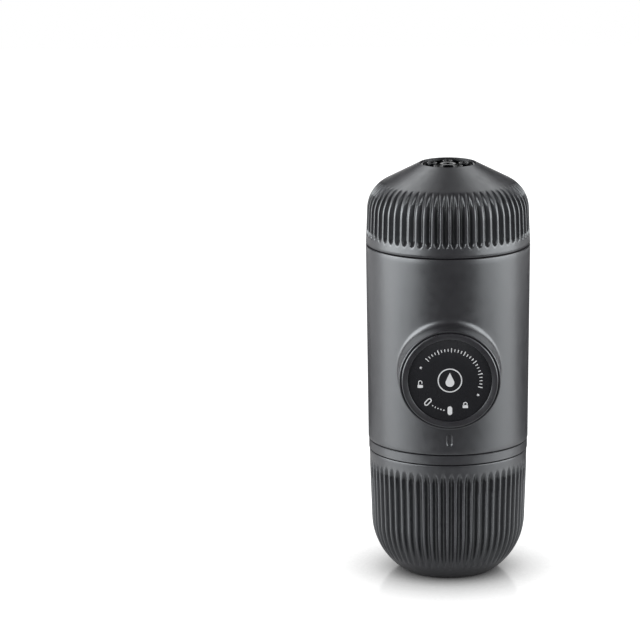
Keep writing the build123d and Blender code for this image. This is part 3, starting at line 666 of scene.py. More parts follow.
@dataclass
class Outline:
    """Section of a fluted shell as a loop, with the lift of the flutes' cutter at each point."""

    long_row: float = 1.6 * MM
    plain_row: float = 0.9 * MM
    points: list[Point] = field(default_factory=list)
    lifts: list[float] = field(default_factory=list)

    def add(self, points: Sequence[Point], lift: float | Sequence[float] = CUTTER_AWAY) -> None:
        """Add points.

        Args:
            points: Radius and height of each.
            lift: Height of the cutter's centre above the surface, for all or one each. Left out, the
                cutter is away and the surface is plain.
        """
        self.points += points
        self.lifts += list(lift) if isinstance(lift, Sequence) else [lift] * len(points)

    def add_fluted(self, end: Sequence[float]) -> None:
        """Go straight on to a point, with flutes of full depth."""
        self.add(evenly(self.points[-1], end, self.long_row), 0)

    def add_plain(self, end: Sequence[float]) -> None:
        """Go straight on to a point, without flutes."""
        self.add(evenly(self.points[-1], end, self.plain_row))

    def shell(self, name: str, flute: Flute, turn: float) -> bpy.types.Object:
        """Lay one flute's width of the shell, and copy it round the axis into a closed shell.

        Args:
            name: The piece's name.
            flute: The flutes' shape.
            turn: How far the first flute is turned about the axis.

        Returns:
            The closed shell.
        """
        points, lifts, angles = np.array(self.points), np.array(self.lifts), flute.angles()
        along = np.roll(points, -1, 0) - np.roll(points, 1, 0)
        length = np.linalg.norm(along, axis=1)[:, None].clip(ROUNDING_ERROR)
        outwards = np.stack([along[:, 1], -along[:, 0]], 1) / length

        def place(across: np.ndarray, up: np.ndarray) -> np.ndarray:
            """Lay vertices at their columns' angles, sunk into the flute.

            Args:
                across: Column numbers.
                up: Row numbers.

            Returns:
                The places.
            """
            row = up % len(points)
            off_center = points[row, 0] * angles[across]
            sunk = points[row] - outwards[row] * flute.depth(off_center, lifts[row])[:, None]
            angle = angles[across] + turn
            return np.stack([sunk[:, 0] * np.cos(angle), sunk[:, 0] * np.sin(angle), sunk[:, 1]], 1)

        # One row more than there are points, so that the last row meets the first.
        shell = grid_sheet(name, len(angles), len(points) + 1, place)
        edit(shell)
        bpy.ops.mesh.spin(steps=flute.count - 1, dupli=True, angle=FULL_TURN * (1 - 1 / flute.count),
                          center=(0, 0, 0), axis=(0, 0, 1))
        close_up(shell)
        return shell


@dataclass
class Cup:
    """Fluted cup that covers the tank."""

    foot_radius: float = 17.1 * MM
    foot_rows: tuple[float, float] = (1.2 * MM, 0.3 * MM)
    side_radius: float = 28.94 * MM
    rim_radius: float = 29.65 * MM
    side_height: float = 21.1 * MM
    wall: float = 2.65 * MM
    foot_wall: float = 1.45 * MM
    floor: float = 2.6 * MM
    edge: float = 0.28 * MM
    bowl_steps: int = 34
    inner_steps: int = 10
    flute_margin: float = 3.2 * MM
    flute_taper: float = 3.9 * MM
    taper_row: float = 0.2 * MM
    taper_power: float = 0.85
    flute_reach: float = 0.67
    reach_power: float = 3.0
    flute_turn: float = math.radians(1.5)
    flute: Flute = Flute()

    def build(self) -> None:
        """Model the cup and dress it."""
        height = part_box("portable_cup")[1].z
        outline = Outline()
        self.add_bowl(outline)
        self.add_side(outline, height)
        self.add_inside(outline, height)
        cup = outline.shell("portable_cup_shell", self.flute, self.flute_turn)
        dress(cup, SHELL_GREY, "portable_cup")
        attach(cup, Body.CUP.value)

    def bowl(self, foot_radius: float, side_radius: float, foot_height: float, steps: int) -> list[Point]:
        """Return the arc from a foot's edge up to a side that it meets upright.

        Args:
            foot_radius: Radius of the foot's edge.
            side_radius: Radius of the side.
            foot_height: Height of the foot's edge.
            steps: Number of segments.

        Returns:
            The arc's points.
        """
        width, height = side_radius - foot_radius, self.side_height - foot_height
        radius = (width**2 + height**2) / (2 * width)
        end = math.asin(height / radius)
        return [
            (side_radius - radius * (1 - math.cos(angle)), self.side_height - radius * math.sin(angle))
            for angle in np.linspace(end, 0, steps + 1)
        ]

    def add_bowl(self, outline: Outline) -> None:
        """Add the flat foot and the bowl, on which the flutes run out downwards.

        Args:
            outline: The cup's outline.
        """
        arc = self.bowl(self.foot_radius, self.side_radius, 0, self.bowl_steps)
        outline.add([(0, 0), *[(self.foot_radius - row, 0) for row in self.foot_rows], arc[0]])
        shares = np.arange(self.bowl_steps - 1, -1, -1) / self.bowl_steps / self.flute_reach
        outline.add(arc[1:], self.flute.run_out(shares, self.reach_power))

    def add_side(self, outline: Outline, height: float) -> None:
        """Add the leaning side, with its flutes' upper ends and the plain band under the rim.

        Args:
            outline: The cup's outline.
            height: The cup's height.
        """
        top = height - self.flute_margin
        share = (top - self.flute.radius - self.side_height) / (height - self.side_height)
        radius = self.side_radius + share * (self.rim_radius - self.side_radius)
        start = top - self.flute_taper
        outline.add_fluted((radius, start))
        taper = evenly((radius, start), (radius, top), self.taper_row)
        shares = [(point[1] - start) / self.flute_taper for point in taper]
        outline.add(taper, self.flute.run_out(shares, self.taper_power))
        outline.add_plain((self.rim_radius, height - self.edge))

    def add_inside(self, outline: Outline, height: float) -> None:
        """Add the rim's rounded lip, the inside and the floor.

        Args:
            outline: The cup's outline.
            height: The cup's height.
        """
        bore, below = self.rim_radius - self.wall, height - 2 * self.edge
        lip = rounded([(self.rim_radius, below, 0), (self.rim_radius, height, self.edge),
                       (bore, height, self.edge), (bore, below, 0)])
        outline.add(lip[2:-1])
        inside = self.bowl(self.foot_radius - self.foot_wall, self.side_radius - self.wall, self.floor,
                           self.inner_steps)
        outline.add(inside[::-1] + [(0, self.floor)])


@dataclass
class Head:
    """Fluted screw-off head with a recess for the nozzle in its apex."""

    side_lean: float = math.radians(2.06)
    cone_slope: float = math.radians(27.2)
    shoulder: float = 12.0 * MM
    shoulder_steps: int = 29
    inner_steps: int = 7
    apex_radius: float = 10.4 * MM
    apex_depth: float = 3.7 * MM
    apex_edge: float = 0.25 * MM
    wall: float = 3.0 * MM
    recess_wall: float = 1.5 * MM
    spout_radius: float = 3.7 * MM
    edge: float = 0.4 * MM
    edge_middle: float = 0.35
    flute_margin: float = 3.4 * MM
    flute_taper: float = 2.2 * MM
    taper_row: float = 0.15 * MM
    taper_power: float = 1.2
    flute_reach: float = 0.95
    reach_power: float = 2.0
    flute_turn: float = math.radians(3.3)
    flute: Flute = Flute()

    def build(self) -> None:
        """Model the head's shell and dress it."""
        low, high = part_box("head_shell")
        foot, apex = Vector((high.x, low.z)), Vector((self.apex_radius, high.z))
        outline = Outline()
        self.add_outside(outline, self.corner(foot, apex, 0))
        self.add_inside(outline, self.corner(foot, apex, self.wall), high.z)
        shell = outline.shell("head_dome", self.flute, self.flute_turn)
        dress(shell, SHELL_GREY, "head_shell")
        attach(shell, Body.HEAD.value)

    def corner(self, low: Vector, high: Vector, inset: float) -> list[Vector]:
        """Return the outline's lower end, shoulder corner and upper end, moved inwards.

        Args:
            low: The outer foot.
            high: The outer edge of the apex.
            inset: How far the outline is moved inwards.

        Returns:
            The three points.
        """
        lean, slope = math.tan(self.side_lean), math.tan(self.cone_slope)
        radius = low.x - inset / math.cos(self.side_lean)
        apex = high.y - inset / math.cos(self.cone_slope)
        level = (apex - slope * (radius - self.apex_radius + low.y * lean)) / (1 - slope * lean)
        corner = Vector((radius - (level - low.y) * lean, level))
        return [Vector((radius, low.y)), corner, Vector((self.apex_radius, apex))]

    def shoulder_arc(self, corners: list[Vector], radius: float, steps: int) -> list[Vector]:
        """Return the shoulder's rounding.

        Args:
            corners: The outline's lower end, shoulder corner and upper end.
            radius: The radius of the rounding.
            steps: Number of segments.

        Returns:
            Its points from the side up to the cone.
        """
        before = (corners[0] - corners[1]).normalized()
        after = (corners[2] - corners[1]).normalized()
        half = before.angle(after) / 2
        reach = radius / math.tan(half)
        center = corners[1] + (before + after).normalized() * (radius / math.sin(half))
        start = math.atan2(*(corners[1] + before * reach - center).yx)
        end = math.atan2(*(corners[1] + after * reach - center).yx)
        turns = np.linspace(start, end, steps + 1)
        return [center + Vector((math.cos(turn), math.sin(turn))) * radius for turn in turns]

    def add_outside(self, outline: Outline, corners: list[Vector]) -> None:
        """Add the foot's edge, the plain band, the fluted side and shoulder, and the plain cone.

        Args:
            outline: The head's outline.
            corners: Its lower end, shoulder corner and upper end.
        """
        foot, shoulder, apex = corners
        side = (shoulder - foot).normalized()
        inwards = Vector((-side.y, side.x)) * self.edge
        edge = side * self.edge
        middle = (inwards + edge) * self.edge_middle
        outline.add([tuple(foot + inwards), tuple(foot + middle), tuple(foot + edge)])
        start = foot + side * self.flute_margin
        end = start + side * self.flute_taper
        outline.add_plain(start)
        taper = evenly(start, end, self.taper_row)
        shares = [(end - Vector(point)).length / self.flute_taper for point in taper]
        outline.add(taper, self.flute.run_out(shares, self.taper_power))
        arc = [tuple(point) for point in self.shoulder_arc(corners, self.shoulder, self.shoulder_steps)]
        outline.add_fluted(arc[0])
        shares = np.arange(1, len(arc)) / self.shoulder_steps / self.flute_reach
        outline.add(arc[1:], self.flute.run_out(shares, self.reach_power))
        outline.add_plain(apex - (apex - shoulder).normalized() * self.apex_edge)

    def add_inside(self, outline: Outline, corners: list[Vector], top: float) -> None:
        """Add the nozzle's recess with its spout hole, and the hollow inside.

        Args:
            outline: The head's outline.
            corners: The lower end, shoulder corner and upper end of the inside.
            top: Height of the apex.
        """
        floor = top - self.apex_depth
        under_floor = floor - self.recess_wall
        recess = self.apex_radius + self.recess_wall
        slope = (corners[2] - corners[1]).normalized()
        roof = corners[2] + slope * (self.recess_wall / slope.x)
        hollow = self.shoulder_arc(corners, self.shoulder - self.wall, self.inner_steps)
        outline.add([
            (self.apex_radius, top - self.apex_edge), (self.apex_radius, floor),
            (self.spout_radius, floor), (self.spout_radius, under_floor),
            (recess, under_floor), (recess, roof.y),
            *[tuple(point) for point in hollow[::-1]], tuple(corners[0]),
        ])


@dataclass
class Nozzle:
    """Gloss insert in the head's apex: a dish with a ring of small round outlets."""

    rim_width: float = 0.9 * MM
    rim_rise: float = 3.1 * MM
    rim_edge: float = 0.35 * MM
    dish_edge: float = 0.5 * MM
    base: float = 1.3 * MM
    outlet_count: int = 5
    outlet_circle: float = 6.2 * MM
    outlet_radius: float = 2.1 * MM
    outlet_bore: float = 1.1 * MM
    outlet_rise: float = 1.9 * MM
    outlet_steps: int = 48
    mouth_edge: float = 0.45 * MM
    mouth_share: float = 0.45
    center_radius: float = 3.2 * MM
    center_bore: float = 1.5 * MM

    def build(self) -> None:
        """Model the insert and dress it."""
        low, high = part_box("nozzle_insert")
        floor, radius = low.z, high.x
        base, rim, inner = floor + self.base, floor + self.rim_rise, radius - self.rim_width
        dish = UPRIGHT.turn("nozzle_dish", rounded([
            (0, floor, 0), (radius, floor, 0), (radius, rim, self.rim_edge), (inner, rim, self.rim_edge),
            (inner, base, self.dish_edge), (0, base, 0),
        ]))
        outlets = [self.outlet("nozzle_center", Vector((0, 0, base)), self.center_radius, self.center_bore)]
        for number in range(self.outlet_count):
            angle = QUARTER_TURN + FULL_TURN * number / self.outlet_count
            place = Vector((self.outlet_circle * math.cos(angle), self.outlet_circle * math.sin(angle), base))
            outlets.append(self.outlet(f"nozzle_outlet_{number}", place, self.outlet_radius,
                                       self.outlet_bore))
        join(dish, outlets)
        dress(dish, NOZZLE_BLACK, "nozzle_insert")
        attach(dish, Body.HEAD.value)

    def outlet(self, name: str, place: Vector, radius: float, bore: float) -> bpy.types.Object:
        """Turn one outlet: a short tube with a rounded mouth.

        Args:
            name: Its name.
            place: The middle of its foot.
            radius: Its outside radius.
            bore: The radius of its bore.

        Returns:
            The tube.
        """
        mouth = min(self.mouth_edge, (radius - bore) * self.mouth_share)
        lathe = Lathe(place, Vector((0, 0, 1)), Vector((1, 0, 0)))
        return lathe.turn(name, rounded([
            (bore, 0, 0), (radius, 0, 0), (radius, self.outlet_rise, mouth),
            (bore, self.outlet_rise, mouth),
        ], closed=True), self.outlet_steps)


# ---- Pump body ----


@dataclass
class Casing:
    """Middle shell: a leaning round wall that swells into the boss of the dial.

    The wall is turned. A window is then opened in its front, outside and inside, and two patches fill it:
    the boss with its bore, and the inside of the wall round the bore's inner end. Both are laid in rings
    of points about the dial's axis, with one point for each point of the window's edge.
    """

    bottom_radius: float = 30.04 * MM
    top_radius: float = 30.7 * MM
    wall: float = 2.0 * MM
    lip_bore: float = 24.6 * MM
    lip: float = 2.75 * MM
    edge: float = 0.4 * MM
    boss_front: float = 39.7 * MM
    boss_radius: float = 18.7 * MM
    boss_bore: float = 17.9 * MM
    boss_taper: float = math.radians(1)
    boss_edge: float = 0.35 * MM
    bore_edge: float = 0.2 * MM
    edge_stretch: float = 3 * MM
    boss_blend: float = 2.3 * MM
    index_level: float = 57.0 * MM
    index_length: float = 4.9 * MM
    index_width: float = 2.3 * MM
    index_depth: float = 0.45 * MM
    index_steps: int = 48
    columns: int = 180
    window_columns: int = 31
    window_up: float = 27.9 * MM
    window_rows: int = 60
    outer_row: float = 2 * MM
    inner_row: float = 4 * MM
    bore_rings: int = 6
    boss_rings: int = 5
    blend_rings: int = 12
    outer_rings: int = 12
    inner_rings: int = 6
    root_tries: int = 30

    def __post_init__(self) -> None:
        """Take the casing's and the dial's places from the frame, and lay out the window."""
        low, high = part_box("body_casing")
        dial_low, dial_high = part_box("dial_knob")
        self.bottom, self.top = low.z, high.z
        self.dial_level = (dial_low.z + dial_high.z) / 2
        self.levels = np.linspace(self.dial_level - self.window_up, self.dial_level + self.window_up,
                                  self.window_rows + 1)
        self.edge_angle, self.edge_level = self.window_edge()
        across = self.outer(self.dial_level) * self.edge_angle
        spoke = np.arctan2(self.edge_level - self.dial_level, across)
        self.cosine, self.sine = np.cos(spoke), np.sin(spoke)

    def build(self) -> None:
        """Model the casing with its boss and its index, and dress it."""
        wall = UPRIGHT.turn("body_shell", self.section(), self.columns)
        self.cut_window(wall)
        join(wall, [self.boss(), self.bore_back()])
        close_up(wall)
        self.sink_index(wall)
        dress(wall, SHELL_GREY, "body_casing")
        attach(wall, Body.MAIN.value)

    def outer(self, level: float | np.ndarray) -> float | np.ndarray:
        """Return the outside radius at a level."""
        lean = (self.top_radius - self.bottom_radius) * (level - self.bottom) / (self.top - self.bottom)
        return self.bottom_radius + lean

    def inner(self, level: float | np.ndarray) -> float | np.ndarray:
        """Return the inside radius at a level."""
        return self.outer(level) - self.wall

    def section(self) -> list[Point]:
        """Return the section of the wall: up the outside, over the lip and down the inside.

        Returns:
            The section's points, with a row for each row of the window.
        """
        lip_level = self.top - self.lip
        corners = rounded([
            (self.outer(self.bottom), self.bottom, self.edge), (self.outer(self.top), self.top, self.edge),
            (self.lip_bore, self.top, self.edge), (self.lip_bore, lip_level, 0),
            (self.inner(lip_level), lip_level, 0), (self.inner(self.bottom), self.bottom, 0),
        ], closed=True)
        count = ROUNDING_STEPS + 1
        low_edge, high_edge, rest = corners[:count], corners[count:2 * count], corners[2 * count:]
        outside = [(self.outer(level), level) for level in self.levels]
        inside = [(self.inner(level), level) for level in self.levels]
        return [
            *low_edge, *evenly(low_edge[-1], outside[0], self.outer_row)[:-1], *outside,
            *evenly(outside[-1], high_edge[0], self.outer_row)[:-1], *high_edge, *rest[:-1],
            *evenly(rest[-2], inside[-1], self.inner_row)[:-1], *inside[::-1],
            *evenly(inside[0], rest[-1], self.inner_row),
        ]

    def cut_window(self, wall: bpy.types.Object) -> None:
        """Open the wall in front, outside and inside, where the boss and its bore are let in.

        Args:
            wall: The turned wall.
        """
        edit(wall)
        mesh = bmesh.from_edit_mesh(wall.data)
        bpy.ops.mesh.select_all(action="DESELECT")
        half = self.window_columns * FULL_TURN / self.columns
        for face in mesh.faces:
            middle = face.calc_center_median()
            ahead = abs(math.atan2(middle.x, -middle.y)) < half
            face.select = ahead and self.levels[0] < middle.z < self.levels[-1]
        bmesh.update_edit_mesh(wall.data)
        bpy.ops.mesh.delete(type="FACE")
        bpy.ops.object.mode_set(mode="OBJECT")

    def window_edge(self) -> tuple[np.ndarray, np.ndarray]:
        """Return the window's edge, anticlockwise from the lower end of its right side.

        Returns:
            The angle from the front and the level of each point.
        """
        angles = np.arange(-self.window_columns, self.window_columns + 1) * FULL_TURN / self.columns
        right, left = np.full(self.window_rows, angles[-1]), np.full(self.window_rows, angles[0])
        upper = np.full(len(angles) - 1, self.levels[-1])
        lower = np.full(len(angles) - 1, self.levels[0])
        around = np.concatenate([right, angles[:0:-1], left, angles[:-1]])
        return around, np.concatenate([self.levels[:-1], upper, self.levels[:0:-1], lower])

    def about_dial(self, radius: float | np.ndarray, forward: float | np.ndarray) -> np.ndarray:
        """Return a ring of points about the dial's axis.

        Args:
            radius: Distance from the axis, for all or one each.
            forward: The Y of the points, for all or one each.

        Returns:
            The points.
        """
        forward = np.broadcast_to(forward, self.cosine.shape)
        return np.stack([radius * self.cosine, forward, self.dial_level + radius * self.sine], -1)

    def depth(self, radius: float | np.ndarray, skin: Skin) -> np.ndarray:
        """Return the Y of the wall's surface at a radius about the dial's axis.

        Args:
            radius: Distance from the axis, for all or one each.
            skin: Gives the surface's radius at a level.

        Returns:
            The Y on each spoke.
        """
        return -np.sqrt(skin(self.dial_level + radius * self.sine) ** 2 - (radius * self.cosine) ** 2)

    def out_to_edge(self, radius: float | np.ndarray, skin: Skin, steps: int) -> list[np.ndarray]:
        """Return rings on the wall's surface that lead from a ring about the dial to the window's edge.

        Args:
            radius: The first ring's distance from the dial's axis, for all or one each.
            skin: Gives the surface's radius at a level.
            steps: Number of rings after the first.

        Returns:
            The rings after the first.
        """
        start_level = self.dial_level + radius * self.sine
        start_angle = np.arcsin(radius * self.cosine / skin(start_level))
        rings = []
        for step in range(1, steps + 1):
            share = step / steps
            angle = start_angle + (self.edge_angle - start_angle) * share
            level = start_level + (self.edge_level - start_level) * share
            rings.append(np.stack([skin(level) * np.sin(angle), -skin(level) * np.cos(angle), level], -1))
        return rings

    def rings_to_patch(self, name: str, rings: list[np.ndarray]) -> bpy.types.Object:
        """Lay closed rings of points into one sheet.

        Args:
            name: The sheet's name.
            rings: The rings, from the inside out.

        Returns:
            The sheet.
        """
        stack = np.array(rings)
        count = stack.shape[1]
        return grid_sheet(name, count + 1, len(rings), lambda across, up: stack[up, across % count])

    def blend(self) -> list[np.ndarray]:
        """Return the hollow curve from the boss's wall to the round wall on each spoke.

        Returns:
            Four control points, each as a row of distances from the dial's axis and a row of Y.
        """
        lean, upright = math.sin(self.boss_taper), math.cos(self.boss_taper)
        # The boss widens towards its root, which lies on the round wall, so the two are found in turn.
        root = np.full_like(self.cosine, self.boss_radius)
        for _ in range(self.root_tries):
            root = self.boss_radius + (self.depth(root, self.outer) + self.boss_front) * lean / upright
        root_y = self.depth(root, self.outer)
        slope = root * self.cosine**2 / -root_y
        turn = QUARTER_TURN - self.boss_taper - np.arctan(slope)
        reach = self.boss_blend * np.tan(turn / 2)
        # Handles of this length bring a cubic curve nearest to an arc.
        handle = self.boss_blend * np.tan(turn / 4) * 4 / 3
        end = root + reach / np.hypot(1, slope)
        end_y = self.depth(end, self.outer)
        end_slope = end * self.cosine**2 / -end_y
        end_handle = handle / np.hypot(1, end_slope)
        wall_end = np.stack([root - reach * lean, root_y - reach * upright])
        return [
            wall_end, wall_end + handle * np.array([[lean], [upright]]),
            np.stack([end - end_handle, end_y - end_handle * end_slope]), np.stack([end, end_y]),
        ]

    def boss(self) -> bpy.types.Object:
        """Lay the boss: bore, lip, tapered wall, and the hollow blend into the round wall.

        Returns:
            The sheet.
        """
        stretch, face = self.edge_stretch, -self.boss_front
        lip = rounded([
            (self.boss_bore, face + stretch, 0), (self.boss_bore, face, self.bore_edge),
            (self.boss_radius, face, self.boss_edge),
            (self.boss_radius + stretch * math.tan(self.boss_taper), face + stretch, 0),
        ])[1:-1]
        control = self.blend()
        back, front = self.depth(self.boss_bore, self.inner), lip[0][1]
        rings = [self.about_dial(self.boss_bore, back + (front - back) * share)
                 for share in np.linspace(0, 1, self.bore_rings + 1)[:-1]]
        rings += [self.about_dial(*point) for point in lip]
        start = np.array(lip[-1])[:, None]
        rings += [self.about_dial(*(start + (control[0] - start) * share))
                  for share in np.linspace(0, 1, self.boss_rings + 1)[1:-1]]
        rings += [self.about_dial(*bezier(control, share))
                  for share in np.linspace(0, 1, self.blend_rings + 1)]
        rings += self.out_to_edge(control[-1][0], self.outer, self.outer_rings)
        return self.rings_to_patch("boss_patch", rings)

    def bore_back(self) -> bpy.types.Object:
        """Lay the inside of the wall round the bore's inner end.

        Returns:
            The sheet.
        """
        first = self.about_dial(self.boss_bore, self.depth(self.boss_bore, self.inner))
        rings = [first, *self.out_to_edge(self.boss_bore, self.inner, self.inner_rings)]
        return self.rings_to_patch("bore_patch", rings)

    def sink_index(self, wall: bpy.types.Object) -> None:
        """Sink the index slot, with its sloping sides, into the wall below the dial.

        Args:
            wall: The closed casing.
        """
        start_alone()
        bpy.ops.mesh.primitive_cone_add(vertices=self.index_steps,
                                        radius1=self.index_width / 2 - self.index_depth,
                                        radius2=self.index_width / 2 + self.index_depth,
                                        depth=2 * self.index_depth, rotation=(QUARTER_TURN, 0, 0))
        bpy.ops.object.transform_apply(rotation=True)
        cutter = bpy.context.object
        points = read_points(cutter)
        points[:, 2] += np.sign(points[:, 2]) * (self.index_length - self.index_width) / 2 + self.index_level
        points[:, 1] -= np.sqrt(self.outer(points[:, 2]) ** 2 - points[:, 0] ** 2)
        write_points(cutter, points)
        pick(wall)
        cut = wall.modifiers.new("index", "BOOLEAN")
        cut.operation, cut.solver, cut.object = "DIFFERENCE", "EXACT", cutter
        bpy.ops.object.modifier_apply(modifier=cut.name)
        bpy.data.objects.remove(cutter)
        bpy.ops.object.shade_smooth_by_angle(angle=SMOOTH_ANGLE)


@dataclass
class Dial:
    """Round pump dial: skirted knob, gloss disc and printed marks."""

    rim_width: float = 0.75 * MM
    rim_outer_edge: float = 0.45 * MM
    rim_inner_edge: float = 0.25 * MM
    slope_width: float = 1.5 * MM
    slope_depth: float = 0.3 * MM
    slope_edge: float = 0.15 * MM
    web: float = 2.9 * MM
    web_edge: float = 0.4 * MM
    skirt_wall: float = 1.5 * MM
    skirt_inner_edge: float = 0.2 * MM
    skirt_outer_edge: float = 0.3 * MM
    hub_radius: float = 5.0 * MM
    hub_length: float = 5.0 * MM
    hub_edge: float = 0.2 * MM
    disc_edge: float = 0.15 * MM
    print_height: float = 0.03 * MM
    mark_radius: float = 11.4 * MM

    def __post_init__(self) -> None:
        """Take the dial's place from the frame."""
        low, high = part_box("dial_knob")
        disc_low, disc_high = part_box("dial_disc")
        self.level = (low.z + high.z) / 2
        self.radius, self.front, self.back = high.x, -low.y, -high.y
        self.face, self.disc_back, self.disc_radius = -disc_low.y, -disc_high.y, disc_high.x
        self.lathe = Lathe(Vector((0, 0, self.level)), Vector((0, -1, 0)), Vector((1, 0, 0)))

    def build(self) -> None:
        """Model the knob, the disc and the marks, and dress them."""
        self.build_knob()
        self.build_disc()
        DialPrint(self).build()

    def build_knob(self) -> None:
        """Turn the knob with its rolled rim, and dress it."""
        slope_radius = self.radius - self.rim_width - self.slope_width
        bore = self.radius - self.skirt_wall
        web_back = self.disc_back - self.web
        hub_back = web_back - self.hub_length
        knob = self.lathe.turn("dial_ring", rounded([
            (0, hub_back, 0), (self.hub_radius, hub_back, self.hub_edge),
            (self.hub_radius, web_back, self.web_edge), (bore, web_back, self.web_edge),
            (bore, self.back, self.skirt_inner_edge), (self.radius, self.back, self.skirt_outer_edge),
            (self.radius, self.front, self.rim_outer_edge),
            (self.radius - self.rim_width, self.front, self.rim_inner_edge),
            (slope_radius, self.front - self.slope_depth, self.slope_edge),
            (slope_radius, self.disc_back, 0), (0, self.disc_back, 0),
        ]))
        dress(knob, RIM_GREY, "dial_knob")
        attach(knob, Body.DIAL.value)

    def build_disc(self) -> None:
        """Turn the gloss disc and dress it."""
        disc = self.lathe.turn("dial_gloss_disc", rounded([
            (0, self.disc_back, 0), (self.disc_radius, self.disc_back, 0),
            (self.disc_radius, self.face, self.disc_edge), (0, self.face, 0),
        ]))
        dress(disc, GLOSS_BLACK, "dial_disc")
        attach(disc, Body.DIAL.value)


DIAL_UP = QUARTER_TURN
DIAL_DOWN = -QUARTER_TURN


@dataclass
class DialPrint:
    """Printed marks of the dial, all plain signs.

    They are a filled and an open bar with dots between, a tick scale, two locks, two stars and a drop in
    a ring. Angles run anticlockwise from the dial's right side.
    """

    dial: Dial
    stroke: float = 0.4 * MM
    bar_length: float = 3.3 * MM
    bar_width: float = 1.7 * MM
    twist: float = math.radians(45)
    dot_count: int = 5
    bar_gap: int = 2
    dot_radius: float = 0.25 * MM
    dot_corners: int = 12
    star_points: int = 5
    star_radius: float = 0.62 * MM
    star_waist: float = 0.5
    star_circle: float = 11.7 * MM
    star_angles: tuple[float, float] = (math.radians(155.5), math.radians(-28))
    tick_count: int = 25
    long_tick_every: int = 4
    long_tick: float = 1.6
    tick_start: float = math.radians(137)
    tick_sweep: float = math.radians(150)
    tick_length: float = 1.1 * MM
    tick_width: float = 0.36 * MM
    tick_corners: int = 8
    lock_size: float = 1.0 * MM
    lock_edge: float = 0.2 * MM
    lock_circle: float = 11.0 * MM
    shut_lock_angle: float = math.radians(-59)
    open_lock_angle: float = math.radians(189)
    open_lock_rise: float = 0.5
    lock_top: float = 0.1
    shackle_rise: float = 0.45
    shackle_radius: float = 0.62
    shackle_stroke: float = 0.8
    bow_corners: int = 13
    ring_radius: float = 4.3 * MM
    ring_corners: int = 64
    drop_radius: float = 1.6 * MM
    drop_height: float = 2.9 * MM
    drop_shoulder: float = math.radians(65)
    drop_corners: int = 25

    def build(self) -> None:
        """Lay all the marks on the disc as one print, and dress it."""
        parts = [
            *self.bars_and_dots(), *self.scale(), *self.lock(self.shut_lock_angle, 0),
            *self.lock(self.open_lock_angle, self.open_lock_rise), *self.emblem(), *self.stars(),
        ]
        marks = parts[0]
        join(marks, parts[1:])
        marks.name = marks.data.name = "dial_print"
        edit(marks)
        bpy.ops.mesh.normals_make_consistent(inside=False)
        bpy.ops.object.mode_set(mode="OBJECT")
        dress(marks, PRINT_WHITE, "dial_marks")
        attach(marks, Body.DIAL.value)

    def bars_and_dots(self) -> list[bpy.types.Object]:
        """Make the filled bar, the open bar one twist away, and the dots between.

        Returns:
            The marks.
        """
        radius, open_angle = self.dial.mark_radius, DIAL_DOWN - self.twist
        bar = self.slot_outline(self.bar_length, self.bar_width)
        middle = self.slot_outline(self.bar_length - self.stroke, self.bar_width - self.stroke)
        dot = self.circle(self.dot_radius, self.dot_corners)
        parts = [
            self.filled(bar, self.at(radius, DIAL_DOWN), DIAL_DOWN),
            self.line(middle, self.stroke, self.at(radius, open_angle), open_angle, True),
        ]
        step = self.twist / (self.dot_count - 1 + 2 * self.bar_gap)
        for number in range(self.dot_count):
            angle = DIAL_DOWN - (self.bar_gap + number) * step
            parts.append(self.filled(dot, self.at(radius, angle), angle))
        return parts

    def scale(self) -> list[bpy.types.Object]:
        """Make the scale of ticks over the top of the disc.

        Returns:
            The ticks.
        """
        ticks = []
        for number in range(self.tick_count):
            angle = self.tick_start - self.tick_sweep * number / (self.tick_count - 1)
            length = self.tick_length * (1.0 if number % self.long_tick_every else self.long_tick)
            outline = self.slot_outline(length, self.tick_width, self.tick_corners)
            ticks.append(self.filled(outline, self.at(self.dial.mark_radius, angle), angle))
        return ticks

    def lock(self, angle: float, raised: float) -> list[bpy.types.Object]:
        """Make a small lock.

        Args:
            angle: Where it stands on the disc.
            raised: How far its shackle is pulled out, as a share of the lock's size, 0 for a shut one.

        Returns:
            Its case and its shackle.
        """
        size, edge, center = self.lock_size, self.lock_edge, self.at(self.lock_circle, angle)
        top, legs = size * self.lock_top, size * self.shackle_radius
        case = rounded([(-size, -size, edge), (top, -size, edge), (top, size, edge), (-size, size, edge)],
                       closed=True)
        start = top + size * raised
        foot = start if raised else 0
        bow_level = start + size * self.shackle_rise
        turns = np.linspace(-QUARTER_TURN, QUARTER_TURN, self.bow_corners)
        bow = [(bow_level + legs * math.cos(turn), legs * math.sin(turn)) for turn in turns]
        shackle = np.array([(foot, -legs), *bow, (0, legs)])
        return [self.filled(np.array(case), center, DIAL_UP),
                self.line(shackle, self.stroke * self.shackle_stroke, center, DIAL_UP, False)]

    def emblem(self) -> list[bpy.types.Object]:
        """Make the plain ring with a drop in the disc's middle.

        Returns:
            The ring and the drop.
        """
        middle, radius = np.zeros(2), self.drop_radius
        turns = np.linspace(self.drop_shoulder, FULL_TURN - self.drop_shoulder, self.drop_corners)
        belly = [(radius * math.cos(turn) - radius / 2, radius * math.sin(turn)) for turn in turns]
        drop = np.array([(self.drop_height, 0.0), *belly])
        ring = self.circle(self.ring_radius, self.ring_corners)
        return [self.line(ring, self.stroke, middle, DIAL_UP, True), self.filled(drop, middle, DIAL_UP)]

    def stars(self) -> list[bpy.types.Object]:
        """Make the two small stars.

        Returns:
            The stars.
        """
        outline = self.circle(self.star_radius, 2 * self.star_points)
        outline[1::2] *= self.star_waist
        return [self.filled(outline, self.at(self.star_circle, angle), angle) for angle in self.star_angles]

    def circle(self, radius: float, count: int) -> np.ndarray:
        """Return points of a circle."""
        turn = np.arange(count) * FULL_TURN / count
        return np.stack([np.cos(turn), np.sin(turn)], 1) * radius

